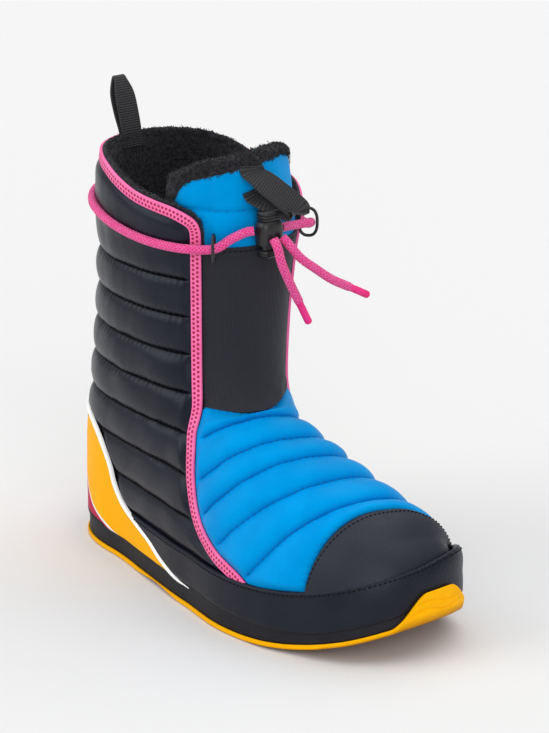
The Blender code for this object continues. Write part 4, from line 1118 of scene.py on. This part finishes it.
# Sections by planes through three points: one on each side of the foot and one on the ridge.
def planeFan(outerSide, innerSide, ridge, columns, low=-4.0, high=184.0):
    middle = (outerSide + innerSide) / 2
    across, lean = unit(innerSide - outerSide), unit(ridge - middle)

    def cast(angles):
        turn = np.radians(angles)[..., None]
        return castOut(middle[:, None, :],
                       np.sin(turn) * lean[:, None, :] - np.cos(turn) * across[:, None, :])

    coarse = np.repeat(np.linspace(low, high, 90)[None, :], len(middle), 0)
    return cast(evenly(coarse, runLength(cast(coarse)), columns))


def ridgePoint(x):
    z = read("roof", x)
    return np.stack([x, centreY(x, z), z], -1)


# Rows across the vamp by seam number; below zero they climb behind the gusset.
def vampGrid(seam, columns):
    above = np.minimum(seam, 0)
    sideZ, ridgeX = (np.interp(seam, np.arange(7), [row[k] for row in vamp["seams"]]) for k in range(2))
    sideZ, ridgeX = sideZ - 5 * above, ridgeX + 16 * above
    capShare = np.clip(seam - 5, 0, 1)[:, None]
    sides = [quarterEdge(sideZ, side) * (1 - capShare) + capSide(side) * capShare for side in (-1, 1)]
    sides = [settle(line)[0] for line in sides]
    return planeFan(*sides, ridgePoint(ridgeX), columns)


def addVamp():
    count, puffs = vamp["rows"], len(vamp["seams"]) - 1
    inside = puffShares(count)
    seam = np.concatenate([[-vamp["tuck"], -vamp["tuck"] / 2], *(k + inside for k in range(puffs)),
                           [6.0]])[::-1]
    share = np.where(seam < 0, 0, seam % 1)
    face = vampGrid(seam, vamp["columns"])
    out = formNormals(face)
    length = runLength(face)
    edge = np.minimum(length, length[:, -1:] - length)
    leaning = share ** vamp["lean"]
    crown = ((4 * leaning * (1 - leaning)) ** vamp["plump"])[:, None]
    bare = ease((edge - 3.0) / vamp["fade"])
    seamGap = (np.minimum(share, 1 - share) * vamp["bandHeight"])[:, None]
    wave = np.cos(2 * np.pi * (length + 1.3 * np.round(seam)[:, None]) / vamp["pitch"])
    pucker = np.exp(-(seamGap / 3.2) ** 2) * (0.5 + 0.5 * wave)
    flat = np.stack([length / 6.0, np.repeat(seam[:, None], vamp["columns"], 1) * 1.2], -1)
    wrinkle = softNoise(flat, 2.4, 61) * 0.3 * (1 - 0.75 * crown) + softNoise(face, 30, 62) * 0.4
    height = vamp["seamDepth"] + vamp["puff"] * crown - 0.4 * pucker + wrinkle
    height = bare * height + (1 - bare) * vamp["covered"]
    height = np.where((seam < 0)[:, None], np.minimum(height, -1.9 + 1.2 * seam[:, None]), height)
    outer = face + height[..., None] * out
    inner = face + vamp["inner"] * out
    # groove value: painted shade along the quilting seams.
    groove = np.exp(-(seamGap / 1.6) ** 2) * bare
    piece = addSlab("vampQuilt", outer, inner, blueLeather, fields={"groove": groove}, slot="blue_leather")
    rows = [int(np.argmin(np.abs(seam - k))) for k in range(1, 6)]
    addStitches("vampStitches", *alongRows(outer, out, rows, vamp["pitch"], margin=6.0), blueThread,
                length=2.5, radius=0.28, lift=0.1)


addVamp()
print("vamp quilted")


# Cap: planes that swing about the line between its two side points, by the share of the way to its rear edge.
def capGrid(share, columns):
    outerSide, innerSide = (np.repeat(capSide(side), len(share), 0) for side in (-1, 1))
    middle = (outerSide + innerSide) / 2
    toRidge = ridgePoint(np.array([cap["ridgeX"]])) - middle
    steep = np.arctan2(toRidge[:, 2], toRidge[:, 0])
    turn = np.radians(cap["foot"]) + share * (steep - np.radians(cap["foot"]))
    swung = np.stack([np.cos(turn), 0 * turn, np.sin(turn)], -1)
    upright = np.linalg.norm(toRidge[:, [0, 2]], axis=1, keepdims=True)
    sideways = share[:, None] * (toRidge * (0, 1, 0)) / upright
    return planeFan(outerSide, innerSide, middle + 30 * (swung + sideways), columns, 0.5, 179.5)


def addToeCap():
    share = np.concatenate([np.linspace(0, 0.95, cap["rows"]), [0.962, 0.975, 0.985, 0.993, 0.998, 1.0]])
    face = capGrid(share, cap["columns"])
    out = formNormals(face)
    rim = (1 - (1 - share) / 0.035).clip(0, 1)
    lift = cap["inner"] + (cap["outer"] - cap["inner"]) * np.sqrt(1 - rim**2)
    lift = np.maximum(lift, 0.55)[:, None] + 0.12 * softNoise(face, 28, 71)
    around = np.linspace(0, 1, cap["columns"])
    dent = cap["dent"] * ease((around - 0.3) / 0.4)[None, :] * ease((0.95 - share) / 0.45)[:, None]
    face = face - dent[..., None] * out
    outer = face + lift[..., None] * out
    addSlab("toeCapLeather", outer, face + cap["inner"] * out, capLeather, slot="smooth_leather",
            replaces=["toe_cap"])
    k = int(np.argmin(np.abs(share - cap["stitchRow"])))
    addStitches("toeCapStitches", *alongLine(outer[k], out[k], 2.9, margin=5.0), blackThread, length=2.1,
                radius=0.3)


addToeCap()

sole = {
    "edge": 2.5, "lip": 0.6, "lipThickness": 0.9, "round": 1.2, "toeRound": 6.5, "top": 2.7,
    "bumperTop": 19.8, "bumperThickness": 2.2,
    "bumperInner": 2.4, "bumperCentre": 10.0, "bumperHalfAngle": 41.0, "bumperSlope": 30.0, "archLift": 2.0,
    "columns": (150, 110, 60),
    "inset": 5.6, "treadRows": 56, "bevelRows": 5, "treadPitch": 9.0,
    # x, share of the arch's lift
    "arch": [(0, 0), (75, 0), (106, 1), (138, 0), (300, 0)],
}
curves["arch"] = tableCurve(sole["arch"], 1)


# Rays from the foot's middle line: straight out along both sides, in fans round the toe and the heel.
def stadium(fromX=None, z=0.0):
    sideCount, toeCount, heelCount = sole["columns"]
    rear = last["heelCentre"] if fromX is None else fromX
    sideX = np.linspace(rear, last["toeCentre"], sideCount)
    toe = np.radians(np.linspace(-90, 90, toeCount + 2)[1:-1])
    heel = np.radians(np.linspace(90, 270, heelCount + 2)[1:-1])
    parts = [(sideX, np.full(sideCount, -math.pi / 2)), (np.full(toeCount, last["toeCentre"]), toe),
             (sideX[::-1], np.full(sideCount, math.pi / 2))]
    if fromX is None:
        parts.append((np.full(heelCount, rear), heel))
    x, turn = (np.concatenate(values) for values in zip(*parts))
    starts = np.stack([x, read("planCentre", x), np.full(x.shape, z)], -1)
    return starts, np.stack([np.cos(turn), np.sin(turn), 0 * x], -1), np.degrees(turn), x


# 1 over the middle of the toe bumper, 0 beyond its two ends.
def toeShare(turn, x):
    inside = sole["bumperHalfAngle"] - np.abs(turn - sole["bumperCentre"])
    return np.where(x >= last["toeCentre"], ease(inside / sole["bumperSlope"]), 0)


def outlineRing(offset):
    starts, rays, turn, x = stadium()
    edge = castOut(starts, rays, outlineValue)
    out = formNormals(edge, outlineValue)
    return starts, edge + np.reshape(offset, (-1, 1)) * out, toeShare(turn, x)


def withZ(p, z):
    out = np.array(p, float)
    out[..., 2] = z
    return out


# The foot's outline, its outward directions, the bumper's share, the sole's reach and its lip.
def soleOutline():
    starts, line, toe = outlineRing(0)
    out = outlineRing(1)[1] - line
    outside = sole["edge"] + (sole["bumperInner"] + sole["bumperThickness"] - sole["edge"]) * ease(3 * toe)
    lip = sole["lipThickness"] + (sole["bumperThickness"] - sole["lipThickness"]) * ease(3 * toe)
    return starts, line, out, toe, outside, lip


# Outsole: rings from the tread's middle to its rounded edge, up the side and bumper, in over the top.
def addOutsole():
    starts, line, out, toe, outside, lip = soleOutline()
    rim = sole["top"] + sole["lip"] + (sole["bumperTop"] - sole["top"] - sole["lip"]) * toe
    bevel = sole["round"] + (sole["toeRound"] - sole["round"]) * ease((line[:, 0] - 250) / 28)
    bevel = np.minimum(bevel, rim - 1.4)

    def ring(offset):
        return line + np.reshape(offset, (-1, 1)) * out

    around = runLength(np.concatenate([ring(outside), ring(outside)[:1]]))[:-1]
    rows = []
    for share in np.linspace(0, 1, sole["treadRows"]):
        p = starts + share * (ring(outside - bevel) - starts)
        x, y = p[:, 0], p[:, 1]
        wave = np.abs(((x + 5.0 * np.cos(y / 9.0)) / sole["treadPitch"]) % 1 - 0.5) * sole["treadPitch"]
        inner = ease((0.93 - share) / 0.02) * ease((np.abs(x - 106) - 26) / 4)
        groove = 0.9 * (1 - ease((wave - 0.9) / 0.5)) * inner
        rows.append(withZ(p, sole["archLift"] * read("arch", x) + groove))
    for bend in np.linspace(0.2, 1, sole["bevelRows"]) * math.pi / 2:
        p = ring(outside - bevel * (1 - math.sin(bend)))
        rows.append(withZ(p, sole["archLift"] * read("arch", p[:, 0]) + bevel * (1 - math.cos(bend))))
    low = sole["archLift"] * read("arch", ring(outside)[:, 0]) + bevel
    for share in np.linspace(0, 1, 34)[1:]:
        z = low + share * (rim - low)
        wavy = sum(np.exp(-((z - level - 1.6 * np.sin(2 * math.pi * around / length + phase)) / 0.5) ** 2)
                   for level, length, phase in ((8.2, 34, 0.4), (12.8, 40, 1.6)))
        dent = 0.55 * wavy * ease(3 * toe - 0.6) * ease((rim - z) / 2.5)
        edgeRound = 0.5 * np.clip((share - 0.94) / 0.06, 0, 1) ** 2
        rows.append(withZ(ring(outside - dent - edgeRound), z))
    rows += [withZ(ring(outside - lip + 0.3), rim), withZ(ring(outside - lip), rim - 0.3),
             withZ(ring(outside - lip), sole["top"]), withZ(ring(-sole["inset"]), sole["top"]),
             withZ(starts, sole["top"])]
    points = np.array(rows)
    tread = np.zeros(points.shape[:2])
    flat = sole["treadRows"]
    tread[:flat] = 1.0
    tread[flat:flat + sole["bevelRows"]] = np.linspace(0.8, 0, sole["bevelRows"])[:, None]
    addPiece("outsoleRubber", points, gridFaces(*points.shape[:2], wrap=True), orangeRubber,
             fields={"tread": tread}, slot="outsole_rubber", replaces=["outsole"], merge=True, sharp=40)


# Midsole: a wall between the outsole's lip and the upper, faintly hollowed, with a rounded upper edge.
def addMidsole():
    _, line, out, _, outside, lip = soleOutline()
    wall = outside - lip - 0.3
    z = np.concatenate([[2.9, 3.4], np.linspace(4.4, 14.5, 9), [15.6, 16.5, 17.0]])
    dent = np.concatenate([[0.35, 0.05], 0.25 * np.sin(np.linspace(0, math.pi, 9)), [0.1, 0.45, 1.1]])
    outer = np.array([withZ(line + (wall - d)[:, None] * out, level) for level, d in zip(z, dent)])
    inner = np.array([withZ(line - sole["inset"] * out, level) for level in z])
    addSlab("midsoleWall", outer, inner, blackRubber, wrap=True, slot="midsole_rubber", replaces=["midsole"],
            sharp=40)


footbed = {"bottom": 17.35, "top": 21.4, "dish": 1.2, "rows": 40}


# Footbed: rings from the middle line to the wall, dished, felted on top and closed underneath.
def addFootbed():
    starts, edge, _ = outlineRing(-sole["inset"])
    share = np.linspace(0, 1, footbed["rows"])[:, None, None]
    flat = starts + share * (edge - starts)
    rise = footbed["top"] + footbed["dish"] * ease(np.linspace(-1.2, 1, footbed["rows"]))
    top = np.array([withZ(row, level) for row, level in zip(flat, rise)])
    top[..., 2] += 0.25 * softNoise(top, 12, 81)
    low = np.array([withZ(row, footbed["bottom"]) for row in flat[[-1, 0]]])
    points = np.concatenate([top, low])[::-1]
    addPiece("footbedFelt", points, gridFaces(*points.shape[:2], wrap=True), feltPile, slot="fleece",
             replaces=["insole"], merge=True)


addOutsole()
addMidsole()
addFootbed()
print("sole ready")

rand = {
    "outer": 2.2, "inner": 0.3, "gap": 2.4, "stitch": 1.9, "pitch": 3.0, "fold": 0.5, "foldLength": 5.6,
    "foldFrom": 190.0,
    "top": 35.4, "toeRise": 4.2, "toeBulge": 2.2,
    # x, height of the lower edge
    "bottom": [(60, 14.6), (158, 14.8), (187, 13.6), (209, 12.2), (228, 10.8), (249, 9.2), (290, 8.6)],
}
curves["randBottom"] = tableCurve(rand["bottom"], 1)


# Band round the foot: its rear ends follow the heel panel's edge and its rims are rounded. It puckers at the
# toe's stitches and stands a little higher and prouder over the tip of the toe.
def addRand():
    low = np.array([0, 0.15, 0.4, 0.8, 1.4, 2.2]) / 23
    high = 1 - np.array([1.6, 1.1, 0.7, 0.35, 0.12, 0.0]) / 23
    face, bottom, top, bulge = [], [], [], []
    for share in np.concatenate([low, np.linspace(0.14, 0.9, 16), high]):
        rear = read("heelEdge", rand["bottom"][0][1] + share * (rand["top"] - rand["bottom"][0][1]))
        starts, rays, turn, x = stadium(float(rear) + rand["gap"])
        tip = ease((turn + 20) / 70) * ease((100 - turn) / 40) * ease((x - 210) / 36)
        bottom.append(read("randBottom", x))
        top.append(rand["top"] + rand["toeRise"] * tip)
        starts[:, 2] = bottom[-1] + share * (top[-1] - bottom[-1])
        face.append(castOut(starts, rays))
        bulge.append(rand["toeBulge"] * tip * ease((starts[:, 2] - 22) / 13))
    face, bottom, top, bulge = (np.array(rows) for rows in (face, bottom, top, bulge))
    out = np.where((face[..., 2] < 17.5)[..., None], formNormals(face, outlineValue), formNormals(face))
    fromTop = top - face[..., 2]
    rim = np.maximum(1 - fromTop / 1.6, 1 - (face[..., 2] - bottom) / 3.0).clip(0, 1)
    lift = rand["inner"] + (rand["outer"] - rand["inner"]) * np.sqrt(1 - rim**2) + bulge
    wave = np.cos(2 * np.pi * runLength(face) / rand["foldLength"] + 1.4 * softNoise(face, 40, 92))
    fold = np.exp(-np.abs(fromTop - rand["stitch"]) / 6) * (0.5 + 0.5 * wave)
    fold = fold * ease((face[..., 0] - rand["foldFrom"]) / 30)
    outer = face + (lift + 0.12 * softNoise(face, 30, 91) - rand["fold"] * fold)[..., None] * out
    addSlab("randLeather", outer, face + rand["inner"] * out, randLeather, slot="smooth_leather",
            replaces=["rand"])
    k = int(np.argmin(np.abs(fromTop[:, 0] - rand["stitch"])))
    addStitches("randStitches", *alongLine(outer[k], out[k], rand["pitch"], margin=3.0), blackThread,
                length=2.0, radius=0.42)


addRand()

heel = {
    "bottom": 14.2, "top": 89.0, "outer": 2.0, "inner": 0.3, "rows": 70, "columns": 190,
    "bend": 80, "lastRow": 88.4, "topRows": 22, "rim": 1.3,
    # x, height of the white line, and of the crimson's lower edge
    "line": [(-8, 66), (0, 55), (5, 46.5), (10, 38), (17, 29.5), (24, 24.2), (38, 18.6), (50, 15),
             (61, 13.6), (70, 11), (80, 8)],
    "base": [(-8, 20), (5, 18.5), (20, 18), (34, 17.5), (45, 14.5), (80, 12)],
}
curves["heelLine"] = tableCurve(heel["line"], 1)
curves["heelBase"] = tableCurve(heel["base"], 1)


# Panel: rows round the heel between two points of its edge line, with a rounded rim.
def addHeelPanel():
    z = np.concatenate([np.linspace(heel["bottom"], heel["bend"], heel["rows"]),
                        np.linspace(heel["bend"], heel["lastRow"], heel["topRows"])[1:]])
    edgeX = np.maximum(read("heelEdge", z), read("shaftBack", z) + 0.6)
    start, end = (headingOf(sidePoint(edgeX, z, side)) for side in (1, -1))

    def heightOf(headings):
        return np.repeat(z[:, None], headings.shape[1], 1)

    face, _, _ = wrapRows(start, end, heightOf, heel["columns"])
    out = formNormals(face)
    length = runLength(face)
    rim = np.minimum(length, length[:, -1:] - length)
    rim = np.minimum(rim, np.minimum(heel["top"] - face[..., 2], 0.7 * (face[..., 2] - heel["bottom"])))
    rounded = np.sqrt(np.clip(1 - (1 - rim / heel["rim"]).clip(0, 1) ** 2, 0, 1))
    lift = heel["inner"] + (heel["outer"] - heel["inner"]) * rounded
    outer = face + (lift + 0.1 * softNoise(face, 26, 95))[..., None] * out
    lineHeight = read("heelLine", face[..., 0])
    slope = np.gradient(lineHeight, axis=1) / np.gradient(length, axis=1)
    line = (face[..., 2] - lineHeight) / np.sqrt(1 + slope**2)
    base = face[..., 2] - read("heelBase", face[..., 0])
    addSlab("heelPanelLeather", outer, face + heel["inner"] * out, heelLeather,
            fields={"line": line, "base": base}, slot="heel_panel", replaces=["heel_counter"])


addHeelPanel()

piping = {"width": 3.0, "height": 1.6, "taper": 26.0, "lift": 1.2}


# White piping between heel panel and quarter: a low half-round along the edge, pointed at each end.
def addPiping():
    edgeZ = np.concatenate([np.linspace(13.05, 20, 30), np.linspace(20, 88.2, 91)[1:]])
    edgeX = np.maximum(read("heelEdge", edgeZ) + 1.2, read("shaftBack", edgeZ) + 0.3)
    outerSide, innerSide = (sidePoint(edgeX, edgeZ, side) for side in (-1, 1))
    path = smoothRoute(np.concatenate([outerSide[::3], innerSide[::-1][::3]]), 1.2)
    path, out = settle(path)
    run = unit(np.gradient(path, axis=0))
    length = runLength(path)
    size = ease(np.minimum(length, length[-1] - length) / piping["taper"]) * 0.8 + 0.2
    turn = np.linspace(0, math.pi, 9)
    profile = np.concatenate([np.stack([0.5 + piping["height"] * np.sin(turn),
                                        piping["width"] / 2 * np.cos(turn)], -1),
                              np.array([[-0.3, -piping["width"] / 2], [-0.3, piping["width"] / 2]])])
    first = unit(out - (out * run).sum(-1, keepdims=True) * run)
    lifted = path + piping["lift"] * first
    addSweep("heelPiping", lifted, first, np.cross(run, first), profile[::-1], whiteTape, scale=size,
             slot="heel_panel")


addPiping()
print("rand, heel panel and piping ready")

tape = {"width": 6.6, "lift": 0.95, "step": 1.3, "foot": 28.5, "inset": 0.5, "smoothings": 10}


# The quarter's free edge as one line: up its outer front, round the collar and down its inner front.
def edgePath(foot):
    rise = np.linspace(foot, 226, 150)
    outerEdge, innerEdge = quarterEdge(rise, -1), quarterEdge(rise, 1)
    sweep = np.linspace(headingOf(outerEdge[-1]) - 2.0, headingOf(innerEdge[-1]) + 2.0, 260)
    top = axisCast(sweep, np.interp(sweep, topHeadings, topHeights))
    path = np.concatenate([outerEdge, top, innerEdge[::-1]])
    length = runLength(path)
    even = np.linspace(0, length[-1], round(length[-1] / tape["step"]))
    path = pointsAt(even, length, path)
    for _ in range(tape["smoothings"]):
        path[1:-1] = 0.25 * path[:-2] + 0.5 * path[1:-1] + 0.25 * path[2:]
    path, out = settle(path)
    run = unit(np.gradient(path, axis=0))
    return path, out, unit(np.cross(out, run)), even


# Rows of a strip with both ends drawn to one point, which closes them.
def closeEnds(points):
    ends = [np.repeat(points[k:][:1].mean(axis=1, keepdims=True), points.shape[1], 1) for k in (0, -1)]
    return np.concatenate([ends[0], points, ends[1]])


# Tape: a flat strip with rounded edges, laid on the quarter's outer face along its free edge.
def addTape():
    path, _, inward, even = edgePath(tape["foot"])
    w, lift = tape["width"], tape["lift"]
    flat = np.stack([np.linspace(w - 0.9, 0.9, 9), np.full(9, lift)], -1)
    profile = np.concatenate([[(w, -0.4), (w, 0.45), (w - 0.3, 0.8)], flat,
                              [(0.3, 0.8), (0, 0.45), (0, -0.9), (w / 2, -0.9)]])
    across = path[:, None, :] + (tape["inset"] + profile[None, :, 0, None]) * inward[:, None, :]
    base, normal = settle(across)
    points = base + (profile[None, :, 1] + 0 * even[:, None])[..., None] * normal
    points = closeEnds(np.concatenate([points, points[:, :1]], 1))
    u = np.repeat(np.pad(even, 1, mode="edge")[:, None], points.shape[1], 1)
    v = np.repeat(np.append(np.where(profile[:, 1] < 0, -40, profile[:, 0]), -40)[None, :], len(points), 0)
    addPiece("edgeTape", points, gridFaces(*points.shape[:2]), pinkTape, uv=np.stack([u, v], -1),
             slot="pink_braid", merge=True)


addTape()

trim = {"foot": 113.0, "throat": 0.8, "collar": 1.0, "deep": 3.3, "half": 1.9}


# Fleece trim that closes the wall's edge: an oval along it, fuller on the collar than by the throat.
def addTrim():
    path, out, inward, _ = edgePath(trim["foot"])
    level = ease((path[:, 2] - 222) / 14)
    reach = trim["throat"] + (trim["collar"] - trim["throat"]) * level
    turn = np.linspace(0, 2 * math.pi, 25)[:-1]
    side = -np.cos(turn)[None, :] * (reach[:, None] + 1.2) + 1.2
    high = np.sin(turn)[None, :] * trim["half"] - trim["deep"] + 0 * side
    points = path[:, None, :] + side[..., None] * inward[:, None, :] + high[..., None] * out[:, None, :]
    lumps = (0.2 + 0.2 * level[:, None]) * softNoise(points, 6, 121)
    away = -np.cos(turn)[None, :, None] * inward[:, None, :] + np.sin(turn)[None, :, None] * out[:, None, :]
    points = points + lumps[..., None] * away
    ring = closeEnds(np.concatenate([points, points[:, :1]], 1))
    addPiece("collarTrim", ring, gridFaces(*ring.shape[:2])[:, ::-1], fleecePile, slot="fleece", merge=True,
             sharp=None)
    seen = np.clip(np.cos(turn) + 0.4, 0, 1.4) * (np.sin(turn) < 0.3)
    weight = (level[:, None] * seen + 1e-6) * np.ones_like(side)
    addPile("collarTufts", points, away, 3000, fleecePile, length=0.4, radius=0.26, seed=122, weight=weight,
            slot="fleece")


addTrim()
print("edge tape and trim sewn on")

lining = {"foot": 20.0, "off": -3.4, "thick": 1.4, "columns": 210, "rows": 90, "frontTop": 228.0}


# Fleece lining of the shaft and heel, up the inside of the wall to the collar's trim.
def addLining():
    share = np.linspace(0, 1, lining["rows"])
    front = lining["foot"] + share * (lining["frontTop"] - lining["foot"])
    start, end = headingOf(quarterEdge(front, 1)) + 0.5, headingOf(quarterEdge(front, -1)) - 0.5

    def heightOf(h):
        top = np.interp(h, topHeadings, topHeights) - 0.6
        return lining["foot"] + share[:, None] * (top - lining["foot"])

    face, _, _ = wrapRows(start, end, heightOf, lining["columns"])
    out = formNormals(face)
    lumps = 0.5 * softNoise(face, 10, 101) + 0.3 * softNoise(face, 4.5, 102)
    outer = (face + (lining["off"] - lining["thick"] + lumps)[..., None] * out)[:, ::-1]
    inside = -out[:, ::-1]
    addSlab("shaftFleece", outer, outer - 0.9 * inside, fleecePile, slot="fleece", sharp=None)
    weight = np.zeros(outer.shape[:2])
    weight[-34:-3] = 1.0
    addPile("shaftTufts", outer, inside, 5600, fleecePile, length=0.75, radius=0.32, seed=104, weight=weight,
            slot="fleece")


# Fleece lining of the forefoot: the vamp's and cap's planes, inside the wall.
def addToeLining():
    planes = vampGrid(np.linspace(5.95, 0.0, 50), 90)
    nose = capGrid(np.linspace(-0.25, 0.99, 26), 90)
    face = np.concatenate([nose, planes])
    out = formNormals(face)
    deep = lining["off"] - lining["thick"] + 0.5 * softNoise(face, 9, 111)
    outer = (face + deep[..., None] * out)[:, ::-1]
    addSlab("toeFleece", outer, outer + 0.9 * out[:, ::-1], fleecePile, slot="fleece", sharp=None)


addLining()
addToeLining()
print("lining ready")

loops = {
    "tongueWidth": 16.0, "pullWidth": 15.2, "thickness": 1.5, "across": (0.22, 0.975, 0.0),
    "tongueStart": [(-7.5, 263, 0.2), (-7.5, 259.5, 1.2)], "tongueEnd": [(-6, 245.5, 1.6), (-7, 249, 0.3)],
    "tongueRoute": [(146, -4.5, 255), (151.4, 1.4, 248.6), (157, 8.4, 241), (159.4, 11.6, 236.6),
                    (158.2, 11.1, 234.8), (155.2, 8.6, 236), (150.4, 2.6, 240.2), (147, -3, 242.4)],
    "pullLeg": [(0, 0), (1, 10), (1.3, 22), (0.5, 29.6)], "pullTop": 33.0, "pullNarrow": 0.42,
    "pullLean": 0.33, "pullY": -1.8,
    "pullRear": 0.32, "pullFront": 0.86, "sink": 9.0,
}


# Flat webbing along a smooth curve: a rounded strip whose ribs run across it.
def addWebbing(name, route, width, across, narrow=0.0, **facts):
    path = smoothRoute(route, 0.9)
    drawnIn = 1 - narrow * np.exp(-(np.linspace(-0.5, 0.5, len(path)) / 0.09) ** 2)  # narrower at the fold
    run = unit(np.gradient(path, axis=0))
    across = np.array(across, float)
    side = unit(across - (run @ across)[:, None] * run)
    thin, half = loops["thickness"] / 2, width / 2
    face = np.linspace(-half + 0.6, half - 0.6, 20)
    bend = np.linspace(-math.pi / 2, math.pi / 2, 6)[1:-1]
    right = np.stack([half - 0.6 + 0.6 * np.cos(bend), thin * np.sin(bend)], -1)
    profile = np.concatenate([np.stack([face, np.full(20, -thin)], -1), right,
                              np.stack([face[::-1], np.full(20, thin)], -1), -right])
    piece = addSweep(name, path, side * drawnIn[:, None], np.cross(run, side), profile, webbing, **facts)
    layer = piece.data.uv_layers["UVMap"].uv
    flat = np.empty(len(layer) * 2, np.float32)
    layer.foreach_get("vector", flat)
    flat[1::2] *= 2 * width
    layer.foreach_set("vector", flat)
    return piece


def addTongueLoop():
    def onTongue(rows):
        h, z, off = np.array(rows, float).T
        face, out = throatFace(h, z)
        return face + (tongueOffset(h, z) + 0.3 + loops["thickness"] / 2 + off)[:, None] * out

    route = np.concatenate([onTongue(loops["tongueStart"]), loops["tongueRoute"],
                            onTongue(loops["tongueEnd"])])
    addWebbing("tongueWebbing", route, loops["tongueWidth"], loops["across"], slot="webbing",
               replaces=["tongue_loop"])


# Pull loop: two legs that stand on the collar at the back, joined in a bend, leaning back.
def addPullLoop():
    rim = axisCast(np.array([180.0]), np.array([np.interp(180, topHeadings, topHeights)]))[0]
    inside = rim - last["wall"] * formNormals(rim[None])[0]
    base = max(rim[2], inside[2]) + 0.3
    rear, front = (rim[0] + share * (inside[0] - rim[0]) for share in (loops["pullRear"], loops["pullFront"]))
    profile = [(rear, -loops["sink"])] + [(rear - out, rise) for out, rise in loops["pullLeg"]]
    profile += [((rear + front) / 2, loops["pullTop"])]
    profile += [(front + out, rise) for out, rise in loops["pullLeg"][::-1]] + [(front, -loops["sink"])]
    route = [(x - loops["pullLean"] * max(rise, 0), loops["pullY"], base + rise) for x, rise in profile]
    addWebbing("pullWebbing", route, loops["pullWidth"], (0, 1, 0), loops["pullNarrow"], slot="webbing",
               replaces=["pull_loop"])


addTongueLoop()
addPullLoop()
print("loops ready")

studio = {
    "floor": 9.0, "floorDrop": -0.0001, "floorShade": colour(0.75, 0.745, 0.738),
    "air": colour(0.96, 0.98, 1.0),
    "world": 0.52,
    # name, where the light comes from, strength, how wide it looks in degrees
    "lights": [("topLight", (-0.05, 0.4, 1.9), 1.45, 75.0), ("leftLight", (-1.0, -1.5, 1.1), 0.95, 45.0),
               ("frontLight", (1.5, -0.9, 0.75), 0.95, 45.0)],
}


def addStudio():
    size, drop = studio["floor"], studio["floorDrop"]
    mesh = bpy.data.meshes.new("floor")
    mesh.from_pydata([(-size, -size, drop), (size, -size, drop), (size, size, drop), (-size, size, drop)],
                     [], [(0, 1, 2, 3)])
    material, _, _ = newMaterial("paleFloor", Roughness=0.9, Specular_IOR_Level=0.0,
                                 Base_Color=studio["floorShade"])
    mesh.materials.append(material)
    floor = bpy.data.objects.new("floor", mesh)
    bpy.context.scene.collection.objects.link(floor)
    world = bpy.data.worlds.new("studioAir")
    world.use_nodes = True
    world.node_tree.nodes["Background"].inputs[0].default_value = studio["air"]
    world.node_tree.nodes["Background"].inputs[1].default_value = studio["world"]
    bpy.context.scene.world = world
    for name, source, strength, width in studio["lights"]:
        lamp = bpy.data.lights.new(name, "SUN")
        lamp.energy, lamp.angle = strength, math.radians(width)
        light = bpy.data.objects.new(name, lamp)
        light.rotation_euler = Vector(source).to_track_quat("Z", "Y").to_euler()
        bpy.context.scene.collection.objects.link(light)


addStudio()
